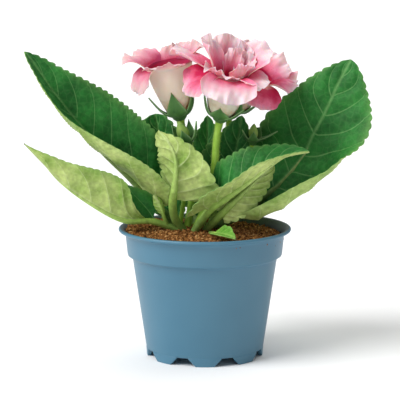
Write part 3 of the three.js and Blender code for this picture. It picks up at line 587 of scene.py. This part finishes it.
def build_leaf(name, leaf):
    rng = np.random.default_rng(leaf["seed"])
    small = max(leaf["half"]) < SMALL_LEAF
    rows, cols = (40, 8) if small else (132, 15)
    fine, length = run(leaf["path"], MIDRIB_POINTS)
    u = np.linspace(0, 1, rows + 1)
    at = (leaf["petiole"] + (1 - leaf["petiole"]) * u) * (MIDRIB_POINTS - 1)
    tangents = unit(np.gradient(fine, axis=0))
    pick = lambda table: np.stack([np.interp(at, np.arange(MIDRIB_POINTS), table[:, k]) for k in range(3)], 1)
    middle, ahead = pick(fine), unit(pick(tangents))
    looks = np.asarray(leaf["face"], float)
    face = np.stack([ease(looks[:, k], u) for k in range(3)], 1)
    face = unit(face - (face * ahead).sum(1, keepdims=True) * ahead)
    across = np.cross(face, ahead)
    blade = length * (1 - leaf["petiole"])
    veins = leaf.get("veins", 4.5 if small else 7.5)
    bulge = leaf.get("bulge", 0.5 if small else 1.3)
    lobes = leaf.get("lobe", 0.0)
    lobes = lobes if isinstance(lobes, tuple) else (lobes, lobes)
    grid = np.zeros((rows + 1, 2 * cols + 1, 3))
    normal = np.zeros_like(grid)
    vein = np.zeros((rows + 1, 2 * cols + 1))
    margin, phases, sides, off = (np.zeros_like(vein) for _ in range(4))
    for key, sign in (("a", -1), ("b", 1)):
        most = leaf["half"][0 if key == "a" else 1]
        fold = np.radians(ease(leaf["fold_" + key], u))
        curl = np.radians(ease(leaf["curl_" + key], u))
        curl = np.where(np.abs(curl) < 1e-3, 1e-3, curl)
        wide = most * half_width(leaf.get("shape_" + key, USUAL), u)
        teeth = blade / TOOTH * (0.5 if small else 1)
        scallop = np.abs(np.sin(np.pi * (teeth * u + rng.random()))) ** 0.7
        jitter = ease(rng.uniform(-1, 1, 9), u)
        offset = rng.random()
        for j in range(cols + 1):
            s = j / cols
            teeth_depth = s**6 * TOOTH_DEPTH * leaf.get("scallop", 1.0) * np.minimum(wide / 8, 1)
            w = wide * (1 + 0.02 * jitter) + teeth_depth * (scallop - 0.6)
            out = (np.sin(fold + curl * s) - np.sin(fold)) / curl
            up = (np.cos(fold) - np.cos(fold + curl * s)) / curl
            back = lobes[key == "b"] * most * s**1.3 * (1 - u) ** 3
            turn = fold + curl * s * (j > 0)
            n = np.cos(turn)[:, None] * face - sign * np.sin(turn)[:, None] * across
            # lateral veins leave the midrib at an angle and curve towards the tip
            phase = veins * (u * 1.05 - 0.20 * s - 0.06 * s**2) + offset * 0.4 + 0.1 * jitter
            to_vein = np.abs((phase + 0.5) % 1 - 0.5) * blade / veins
            ridge = np.exp(-((to_vein / VEIN_WIDTH) ** 2)) * (1 - s**4)
            rib = math.exp(-((s * most / MIDRIB_WIDTH) ** 2))
            pillow = np.abs(np.sin(np.pi * phase)) ** 0.8 * math.sin(math.pi * min(s, 1)) ** 0.5
            wave = MARGIN_WAVE * s**3 * np.sin(2 * np.pi * (2.3 * u + offset)) * np.sin(np.pi * u) ** 0.5
            lift = (bulge * pillow * np.minimum(wide / 20, 1) + wave * (not small))[:, None]
            p = middle + sign * (w * out)[:, None] * across + (w * up)[:, None] * face
            p = p - back[:, None] * ahead
            k = cols + sign * j
            grid[:, k] = p + lift * n
            normal[:, k] = n
            vein[:, k] = np.maximum(ridge, rib)
            margin[:, k] = s**10
            phases[:, k] = phase + 40
            sides[:, k] = s
            off[:, k] = s * wide
    # thinner towards the margin
    thick = LEAF_THICK / 2 * (1 - 0.5 * margin)[..., None]
    raised = (VEIN_HEIGHT * vein * (1 - margin))[..., None]
    shell = Shell("under", "margin", "phase", "side", "off", "pitch", "stem", "deep")
    same = dict(margin=margin, phase=phases, side=sides, off=off, pitch=blade / veins)
    over, below = grid + normal * thick, grid - normal * (thick + raised * 0.9)
    shell.sheet(over, below, dict(same, under=0.0), dict(same, under=1.0))
    # the petiole runs on as a tapering midrib under the blade
    reach = leaf["petiole"] + (1 - leaf["petiole"]) * MIDRIB_END
    stop = int(reach * (MIDRIB_POINTS - 1))
    stem = fine[: stop + 1 : 5]
    share = np.linspace(0, 1, len(stem))
    join = leaf["petiole"] / reach
    taper = np.clip(1 - (share - join) / (1 - join), 0, 1) ** 0.8 * 0.85
    radii = leaf["r"] * np.where(share < join, 1.0, np.minimum(taper + 0.1, 1.0))
    sink = np.clip((share - join) / (1 - join + 1e-6) * 6, 0, 1)
    where = np.linspace(0, reach, len(stem))
    along = leaf["petiole"] + (1 - leaf["petiole"]) * u
    down = np.stack([np.interp(where, along, face[:, k]) for k in range(3)], 1)
    stem = stem - down * (radii * 0.75 * sink)[:, None]
    # painted shade: petioles darken towards their foot, in the shade among them at the crown
    deep = np.maximum(leaf.get("deep", 0.0), 0.8 * (1 - share / join).clip(0) ** 0.7)
    fields = dict(under=1.0, off=0.9, pitch=10.0, phase=0.4, stem=taper[:, None], deep=deep[:, None])
    shell.closed(tube_rings(stem, radii, 14), fields)
    return shell.build(name, YOUNG if leaf.get("young") else LEAF)


for name, leaf in leaves.items():
    made = build_leaf("grown_" + name, leaf)
    adopt(made, "young_leaf" if leaf.get("young") else "leaf", name)

# ------------------------------------------------------------------ flowers
PETAL_THICK = 0.7
PETAL_SHOULDER = 0.4  # share of a petal's length after which its outline rounds off
RUFFLE = 2.0  # how far the ruffles of a petal wave, mm
# waves of the ruffles: depth, and how many run across and along the petal
RUFFLES = ((1.3, 0.9, 0.5), (0.8, 1.9, -0.6), (0.35, 3.6, 0.8))
NICK = 0.5  # fine crimping right at the edge, mm
TUBE_RIBS = 0.03  # the five ribs of the tube, as a share of its radius
SEPAL_THICK = 1.0
SEPAL_SPREAD = 68  # degrees from the axis at which a sepal leaves the cup
SEPAL_RISE = 0.32  # share of its length over which a sepal turns up to its own lean
# heights of the calyx cup, with the share of its radius there
CUP = ((0.3, -4.4), (0.62, -4.0), (0.95, -2.6), (1.12, -1.2), (1.1, -0.4), (0.4, -0.3))


def frame_between(base, tip):
    """Rows: front, right and up of a flower, in the part's frame."""
    up = unit(np.asarray(tip, float) - base)
    front = np.array([0.0, -1.0, 0.0])
    front = unit(front - front @ up * up)
    return np.array([front, np.cross(up, front), up])


def petal_sheet(shell, turn, base, petal, mouth, seed):
    azimuth, length, half, base_half, lean0, lean1, cup = petal[:7]
    ruffle, tint = (tuple(petal[7:]) + (1.0, 0.0)[len(petal) - 7 :])[:2]
    rng = np.random.default_rng(seed)
    phi = math.radians(azimuth)
    out = np.array([math.cos(phi), math.sin(phi), 0])
    side = np.array([-math.sin(phi), math.cos(phi), 0])
    axis = np.array([0.0, 0.0, 1.0])
    rows, cols = 34, 28
    u = 1 - (1 - np.linspace(0, 1, rows + 1)) ** 1.5
    lean = np.radians(lean0 + (lean1 - lean0) * u)
    step = np.diff(u) * length
    r = mouth[0] + np.concatenate([[0], np.cumsum(np.sin(lean[:-1]) * step)])
    z = mouth[1] + np.concatenate([[0], np.cumsum(np.cos(lean[:-1]) * step)])
    v = np.linspace(-1, 1, 2 * cols + 1)
    spread = np.sin(np.pi / 2 * np.minimum(u / 0.5, 1))
    width = base_half + (half - base_half) * spread
    U, V = np.meshgrid(u, v, indexing="ij")
    # rounded outer edge: rows end sooner towards the sides
    past = ((U - PETAL_SHOULDER) / (1 - PETAL_SHOULDER)).clip(0)
    edge = np.maximum(1 - past**2.6, 0.0) ** 0.6
    edge = edge * (1 + 0.05 * np.sin(7 * U * math.pi + rng.uniform(0, 6, 2)[(V > 0).astype(int)]) * U)
    s = width[:, None] * V * edge
    bend = ((1 - u) ** 2 / mouth[0] + cup)[:, None]
    bend = np.where(np.abs(bend) < 1e-4, 1e-4, bend)
    n = -np.cos(lean)[:, None] * out + np.sin(lean)[:, None] * axis
    p = r[:, None, None] * out + z[:, None, None] * axis
    p = p + (np.sin(bend * s) / bend)[..., None] * side
    n3 = n[:, None, :] * np.cos(bend * s)[..., None] - side * np.sin(bend * s)[..., None]
    p = p + ((1 - np.cos(bend * s)) / bend)[..., None] * n[:, None, :]
    # ruffles grow towards the edge
    rim = np.clip(np.maximum(np.abs(V) ** 3 * U, U**3), 0, 1)
    W = V * edge
    waves = sum(a * np.sin(2 * np.pi * (f * W + g * U) + rng.uniform(0, 6.3)) for a, f, g in RUFFLES)
    p = p + (ruffle * RUFFLE * rim * waves)[..., None] * n3
    nick = NICK * rim**3 * np.sin(2 * np.pi * (5.5 * W + rng.random())) * ruffle
    p = p + nick[..., None] * n3
    half_thick = (PETAL_THICK / 2 * (1 - 0.6 * rim))[..., None]
    world = lambda q: q @ turn + base
    reach = 0.36 + 0.64 * U + 0.12 * np.abs(V) * U - tint
    over = dict(inside=1.0, reach=reach)
    under = dict(inside=0.0, reach=0.5 + 0.5 * U)
    shell.sheet(world(p - n3 * half_thick), world(p + n3 * half_thick), under, over)


def bell(shell, turn, base, profile):
    """The tube: closed at its foot, open at the mouth, with shallow ribs."""
    prof, _ = run([(r, 0, z) for r, z in profile], 22)
    radius, height = prof[:, 0], prof[:, 2]
    t = np.linspace(0, 2 * np.pi, 60, endpoint=False)
    share = np.linspace(0, 1, len(prof))
    rings = []
    for r, z, k in zip(radius, height, share):
        ribbed = r * (1 + TUBE_RIBS * k * np.cos(5 * t))
        rings.append(ring(ribbed, t, z))
    outer = np.array(rings)
    inner = []
    for r, z, k in list(zip(radius, height, share))[::-1]:
        ribbed = max(r - PETAL_THICK, 0.3) * (1 + TUBE_RIBS * k * np.cos(5 * t))
        inner.append(ring(ribbed, t, z + PETAL_THICK * (1 - k)))
    both = np.concatenate([outer, np.array(inner)])
    inside = np.concatenate([np.zeros(len(prof) - 1), np.ones(len(prof) + 1)])[:, None]
    reach = np.concatenate([0.45 * share[:-1], [0.3], 0.3 * share[::-1]])[:, None]
    shell.closed(both @ turn + base, dict(inside=inside, reach=reach))


# base: where the calyx sits. throat: middle of the mouth of the tube. tube: radius and height up
# its outside. Each petal: azimuth in degrees, 0 at the front and 90 to the right, length, half
# width, half width at the base, lean from the axis at the base and at the tip, cupping per mm, and
# where they differ from the usual, its ruffles and how much deeper its pink is. Each sepal: azimuth,
# length, half width and lean.
flowers = {
    "flower_front": dict(
        base=(11.5, -14, 183), throat=(18.5, -27, 222), tube=[(5, 0), (9, 3.5), (12.5, 14), (14.5, 37)],
        petals=[(2, 26, 21, 12, 72, 150, -0.012, 1.0, -0.05), (-58, 26, 16, 11, 88, 172, -0.01, 0.7, 0.22),
                (-98, 33, 9.5, 8, 62, 88, 0.012), (-165, 24, 14, 11, 15, 30, 0.02),
                (165, 20, 13, 10, 15, 40, 0.02),
                (122, 27, 20, 11, 20, 58, 0.01), (62, 18, 15, 11, 60, 115, 0.0)],
        inner_tube=[(3, 4), (7.5, 8), (11, 33)],
        inner_petals=[(-30, 17, 16, 9, 25, 62, 0.02), (-118, 30, 10, 7, 14, 46, 0.05),
                      (165, 21, 8, 7, 4, 14, 0.1),
                      (130, 20, 13, 8, 14, 40, 0.02), (52, 20, 11, 8, 10, 26, 0.08)],
        sepals=[(-8, 17, 8.5, 16), (-72, 25, 5, 12), (-144, 21, 6.5, 10), (144, 21, 6.5, 10),
                (62, 21, 6, 34)],
        finish=PETAL,
    ),
    "flower_left": dict(
        base=(-19, -2, 183), throat=(-27, -7, 223), tube=[(5, 0), (9, 4.5), (15.0, 24), (17.5, 40)],
        petals=[(-10, 10, 16, 12, 30, 75, -0.01, 0.5, 0.05), (-118, 21, 20, 13, 22, 96, 0.0, 0.9, 0.05),
                (-62, 20, 13, 11, 105, 178, 0.0, 0.5), (170, 12, 17, 12, 20, 50, 0.0),
                (115, 15, 20, 12, 15, 50, 0.01)],
        sepals=[(-8, 27, 7.5, 6), (-82, 26, 4.5, 24), (-150, 22, 6, 12), (140, 22, 6, 12), (66, 27, 6, 6)],
        finish=PETAL_DUSKY,
    ),
    "flower_right": dict(
        base=(22, 16, 186), throat=(39, 4, 215), tube=[(5, 0), (8, 4), (11.5, 17), (14, 34)],
        petals=[(15, 26, 19, 10, 75, 140, -0.01, 0.8, 0.3), (95, 22, 19, 10, 25, 100, -0.01, 1.2, 0.15),
                (150, 20, 17, 10, 20, 60, 0.0), (-150, 18, 16, 10, 30, 60, 0.0),
                (-60, 16, 13, 10, 40, 80, 0.0)],
        sepals=[(0, 22, 7, 10), (-72, 22, 7, 10), (-144, 22, 7, 10), (144, 22, 7, 10), (72, 22, 7, 10)],
        finish=PETAL,
    ),
}
buds = {
    "bud_left": dict(
        base=(-13.5, -12, 164), tip=(-19.5, -15, 180), radius=4.5,
        sepals=[(0, 17, 5, 8), (-72, 22, 5, 22), (-144, 18, 5, 12), (144, 18, 5, 12), (72, 19, 5, 16)],
    ),
    "bud_right": dict(
        base=(36, 5, 163), tip=(37, 4, 176), radius=3.5,
        sepals=[(0, 12, 4, 14), (-72, 12, 4, 20), (-144, 14, 4, 14), (144, 14, 4, 14), (84, 19, 4.5, 50)],
    ),
}


def sepal_sheet(shell, turn, base, sepal, start, seed):
    azimuth, length, half, lean_end = sepal[:4]
    rng = np.random.default_rng(seed)
    phi = math.radians(azimuth)
    out = np.array([math.cos(phi), math.sin(phi), 0])
    side = np.array([-math.sin(phi), math.cos(phi), 0])
    axis = np.array([0.0, 0.0, 1.0])
    rows, cols = 22, 6
    u = np.linspace(0, 1, rows + 1)
    opening = (SEPAL_SPREAD - lean_end) * np.exp(-((u / SEPAL_RISE) ** 2))
    lean = np.radians(lean_end + opening + 10 * np.sin(3 * u + rng.random()) * u)
    r = start[0] + np.concatenate([[0], np.cumsum(np.sin(lean[:-1]) * length / rows)])
    z = start[1] + np.concatenate([[0], np.cumsum(np.cos(lean[:-1]) * length / rows)])
    width = half * np.sin(np.pi * (0.22 + 0.78 * u**0.75)) ** 1.15
    v = np.linspace(-1, 1, 2 * cols + 1)
    s = width[:, None] * v
    n = -np.cos(lean)[:, None] * out + np.sin(lean)[:, None] * axis
    p = r[:, None, None] * out + z[:, None, None] * axis + s[..., None] * side
    p = p + (np.abs(s) * 0.28 + 0.25 * np.sin(9 * u)[:, None] * v**2)[..., None] * n[:, None, :]
    edge = np.broadcast_to(np.abs(v) ** 6, s.shape)
    half_thick = (SEPAL_THICK / 2 * (1 - 0.6 * edge))[..., None]
    world = lambda q: q @ turn + base
    nn = np.broadcast_to(n[:, None, :], p.shape)
    over, under = world(p - nn * half_thick), world(p + nn * half_thick)
    shell.sheet(over, under, dict(margin=edge), dict(margin=edge))


def build_calyx(name, turn, base, sepals, radius, seed):
    shell = Shell("margin")
    t = np.linspace(0, 2 * np.pi, 20, endpoint=False)
    rings = []
    for r, z in CUP:
        ribbed = radius * r * (1 + 0.04 * np.cos(5 * t))
        rings.append(ring(ribbed, t, z))
    shell.closed(np.array(rings) @ turn + base, dict(margin=0.0))
    for k, sepal in enumerate(sepals):
        sepal_sheet(shell, turn, base, sepal, (radius * 0.75, -1.2), seed + k)
    made = shell.build("grown_" + name, SEPAL)
    strew(made, SEPAL, **SEPAL_HAIRS)
    adopt(made, "sepal", name)


COROLLAS = (("_corolla", "tube", "petals"), ("_inner_corolla", "inner_tube", "inner_petals"))
ends = {}
for number, (name, flower) in enumerate(flowers.items()):
    base = np.asarray(flower["base"], float)
    turn = frame_between(base, flower["throat"])
    ends[name] = (base, turn[2])
    for kind, tube_key, petal_key in COROLLAS:
        if tube_key not in flower:
            continue
        profile = flower[tube_key]
        shell = Shell("inside", "reach")
        bell(shell, turn, base, profile)
        mouth = (profile[-1][0] - PETAL_THICK / 2, profile[-1][1] - 2)
        for k, petal in enumerate(flower[petal_key]):
            petal_sheet(shell, turn, base, petal, mouth, 100 * number + 10 * len(kind) + k)
        made = shell.build("grown_" + name + kind, flower["finish"])
        adopt(made, "petal", name + kind)
    build_calyx(name + "_calyx", turn, base, flower["sepals"], flower["tube"][0][0], 7 * number)

for number, (name, bud) in enumerate(buds.items()):
    base = np.asarray(bud["base"], float)
    tip = np.asarray(bud["tip"], float)
    turn = frame_between(base, tip)
    ends[name] = (base, turn[2])
    height = np.linalg.norm(tip - base)
    u = np.linspace(0.02, 0.98, 14)
    t = np.linspace(0, 2 * np.pi, 24, endpoint=False)
    rings = []
    for k in u:
        r = bud["radius"] * math.sin(math.pi * k**0.8) ** 0.8
        twisted = r * (1 + 0.08 * np.cos(5 * t + 2 * k))
        rings.append(ring(twisted, t, height * k))
    shell = Shell("inside", "reach")
    shell.closed(np.array(rings) @ turn + base, dict(inside=0.0, reach=(0.2 * u)[:, None]))
    made = shell.build("grown_" + name, BUD)
    adopt(made, "bud", name)
    build_calyx(name + "_calyx", turn, base, bud["sepals"], bud["radius"] * 0.8, 50 + 7 * number)

# ------------------------------------------------------------------ stalks
# each: the flower or bud that it carries, its radius and its path from the crown
stalks = {
    "pedicel_front": ("flower_front", 2.6, [(-7, -6, 97), (3, -10, 120), (7, -13, 145), (8.5, -14, 165)]),
    "pedicel_left": ("flower_left", 2.5, [(-13, 6, 97), (-9, 8, 125), (-9, 6, 150), (-15, 1, 168)]),
    "pedicel_right": ("flower_right", 2.4, [(-3, 14, 96), (4, 17, 122), (12, 19, 150), (18, 19, 170)]),
    "pedicel_bud_left": ("bud_left", 1.5, [(-19, 6, 97), (-15, -3, 124), (-11, -9, 150)]),
    "pedicel_bud_right": ("bud_right", 1.6, [(6, 14, 96), (25, 12, 125), (33, 7, 148)]),
}
for name, (end, radius, path) in stalks.items():
    base, up = ends[end]
    path = [np.asarray(p, float) for p in path] + [base - 8 * up, base - 3.6 * up]
    line, _ = run(path, 40)
    share = np.linspace(0, 1, 40)
    radii = radius * (1 + 0.12 * (1 - share) + 0.25 * np.clip((share - 0.93) / 0.07, 0, 1))
    shell = Shell("margin")
    shell.closed(tube_rings(line, radii, 18), {})
    made = shell.build("grown_" + name, STALK)
    strew(made, STALK, **STALK_HAIRS)
    adopt(made, "stalk", name)


# ------------------------------------------------------------------ pot
def turned(profile, sides):
    t = np.linspace(0, 2 * np.pi, sides, endpoint=False)
    return np.array([ring(r, t, z) for r, z in profile])


CREASE, FOOT, WALL = 44.5, 6.0, 1.2  # radius at the foot's crease, height of the foot, wall
FLOOR_THICK = 1.4
FOOT_COUNT = 8
PANEL_DEPTH = 3.0
PANEL_FOOT, PANEL_SPREAD = 7.0, 6.0  # half width of a panel at its foot, and what it gains above
lip = POT_TOP - 2.5
ROLL_OUT, ROLL_UP = 1.4, 1.3  # radii of the rolled rim's section
rolled = [
    (RIM - ROLL_OUT + ROLL_OUT * math.sin(a), POT_TOP - ROLL_UP + ROLL_UP * math.cos(a))
    for a in np.linspace(2.4, 0.0, 9)
]
profile = [(0.4, FOOT), (CREASE - 1.2, FOOT), (CREASE - 0.2, FOOT + 0.3), (CREASE, FOOT + 1.2), (54.5, 74.6),
           (54.9, 75.6), (55.6, 76.3), (57.3, 76.9), (58.1, 77.4), (58.4, 78.4), (59.8, 92),
           (60.4, lip - 1.6),
           (61.4, lip - 0.8), (63.2, lip - 0.5)]
profile += rolled
profile += [(62.6, POT_TOP - 0.1), (61.4, POT_TOP - 0.7), (60.2, lip - 0.6), (59.3, lip - 1.8), (57.3, 79.2),
            (53.8, 76.8), (CREASE - WALL, FOOT + 2.4), (CREASE - PANEL_DEPTH, FOOT + FLOOR_THICK),
            (0.4, FOOT + FLOOR_THICK)]
shell = Shell("painted_rim_shade")
inner = profile.index(rolled[-1])  # from the top of the roll inwards
# the painted shade and soil reflection run from the top of the roll inwards
shell.closed(turned(profile, 160), dict(painted_rim_shade=(np.arange(len(profile)) >= inner)[:, None] * 1.0))
for k in range(FOOT_COUNT):
    middle = -math.pi / 2 + k * 2 * math.pi / FOOT_COUNT
    heights = np.linspace(0, FOOT + 0.6, 8)
    columns = np.linspace(-1, 1, 15)
    layers = []
    for depth in (0.0, PANEL_DEPTH):
        rows = []
        for z in heights:
            half = (PANEL_FOOT + PANEL_SPREAD * min(z / FOOT, 1)) / CREASE
            r = CREASE - 0.5 + 0.5 * z / FOOT - depth
            turns = [middle + half * c for c in columns]
            rows.append([(r * math.cos(turn), r * math.sin(turn), z) for turn in turns])
        layers.append(np.array(rows))
    shell.sheet(layers[1], layers[0], {}, {})
made = shell.build("moulded_pot", POT)
bevel = made.modifiers.new("soft edges", "BEVEL")
bevel.width = 0.35 * MM
bevel.segments = 2
bevel.limit_method = "ANGLE"
bevel.angle_limit = math.radians(50)
adopt(made, "pot_plastic", "pot")


# ------------------------------------------------------------------ soil
def soil_height(x, y):
    return POT_TOP - 4 - 0.045 * x + 2 * np.exp(-((x + 10) ** 2 + y**2) / 900)


rng = np.random.default_rng(5)
t = np.linspace(0, 2 * np.pi, 96, endpoint=False)
rings = [turned([(20, 9)], 96)[0], turned([(42, 9)], 96)[0], turned([(56, 84)], 96)[0]]
for r in (58.6, 56, 52, 47, 42, 36, 30, 24, 18, 12, 6, 1):
    x, y = r * np.cos(t), r * np.sin(t)
    rough = rng.normal(0, 0.45, 96) if r > 2 else 0
    rings.append(np.stack([x, y, soil_height(x, y) + rough - (0.8 if r > 57 else 0)], -1))
shell = Shell()
shell.closed(np.array(rings), {})
soil = shell.build("potting_mix", SOIL)

crumb_mesh = bpy.data.meshes.new("crumb")
bm = bmesh.new()
bmesh.ops.create_icosphere(bm, subdivisions=1, radius=1.0)
for vert in bm.verts:
    vert.co *= rng.uniform(0.6, 1.25)
bm.to_mesh(crumb_mesh)
bm.free()
crumb = bpy.data.objects.new("crumb", crumb_mesh)
CRUMBS = dict(thing=crumb, density=2.6e5, smallest=0.5, largest=2.1, lowest=POT_TOP - 9, tilt=3.1)
strew(soil, SOIL, **CRUMBS)
adopt(soil, "potting_mix", "soil")

# ------------------------------------------------------------------ tuber
low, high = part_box("tuber")
centre = (np.array(low) + np.array(high)) / 2 / MM - POT_AXIS / MM
radius = (high[0] - low[0]) / 2 / MM
height = (high[2] - low[2]) / MM
shell = Shell()
rings = []
for a in np.linspace(0.08, math.pi - 0.08, 18):
    r = radius * math.sin(a) * (1 + 0.05 * np.cos(3 * t + a))
    rings.append(ring(r, t, -height / 2 * math.cos(a)))
shell.closed(np.array(rings)[:, ::3] + centre, {})
made = shell.build("gloxinia_tuber", TUBER)
adopt(made, "tuber_skin", "tuber")

# ------------------------------------------------------------------ floor, light and camera
# Matte white paint: it takes a soft shadow and no reflection.
floor_finish, *_ = new_material("pale studio floor", {"Roughness": 0.9, "Base Color": linear("FAFAFA")})
floor_mesh = bpy.data.meshes.new("floor")
reach_out = 20.0  # metres: past everything that the camera sees
corners = [(-1, -1), (1, -1), (1, 1), (-1, 1)]
floor_mesh.from_pydata([(reach_out * x, reach_out * y, 0) for x, y in corners], [], [(0, 1, 2, 3)])
floor_mesh.materials.append(floor_finish)
floor = bpy.data.objects.new("floor", floor_mesh)
bpy.context.scene.collection.objects.link(floor)
floor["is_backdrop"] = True

scene = bpy.context.scene
world = bpy.data.worlds.new("studio")
scene.world = world
world.use_nodes = True
world.node_tree.nodes["Background"].inputs[0].default_value = (1, 1, 1, 1)
world.node_tree.nodes["Background"].inputs[1].default_value = 0.34
scene.view_settings.view_transform = "Standard"


def soft_sun(name, towards, strength, spread):
    """A far, wide soft box: the same light over the whole floor."""
    light = bpy.data.lights.new(name, "SUN")
    light.energy = strength
    light.angle = math.radians(spread)
    made = bpy.data.objects.new(name, light)
    made.rotation_euler = Vector(towards).to_track_quat("-Z", "Y").to_euler()
    scene.collection.objects.link(made)


soft_sun("key", (0.72, 0.42, -0.75), 3.0, 40)
soft_sun("top", (-0.2, -0.35, -1.0), 1.0, 60)

ELEVATION = math.radians(9.1)
DISTANCE = 1.4
AIM = (-3.65, 0, 118.4)  # mm from the pot's axis and foot

camera_data = bpy.data.cameras.new("camera")
camera = bpy.data.objects.new("camera", camera_data)
scene.collection.objects.link(camera)
back = Vector((0, -math.cos(ELEVATION), math.sin(ELEVATION)))
camera.location = Vector(place(AIM)) + DISTANCE * back
camera.rotation_euler = (math.pi / 2 - ELEVATION, 0, 0)
camera_data.lens = 167.4
camera_data.sensor_width = 36
camera_data.clip_end = 100
scene.camera = camera

bpy.context.view_layer.update()
low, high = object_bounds()
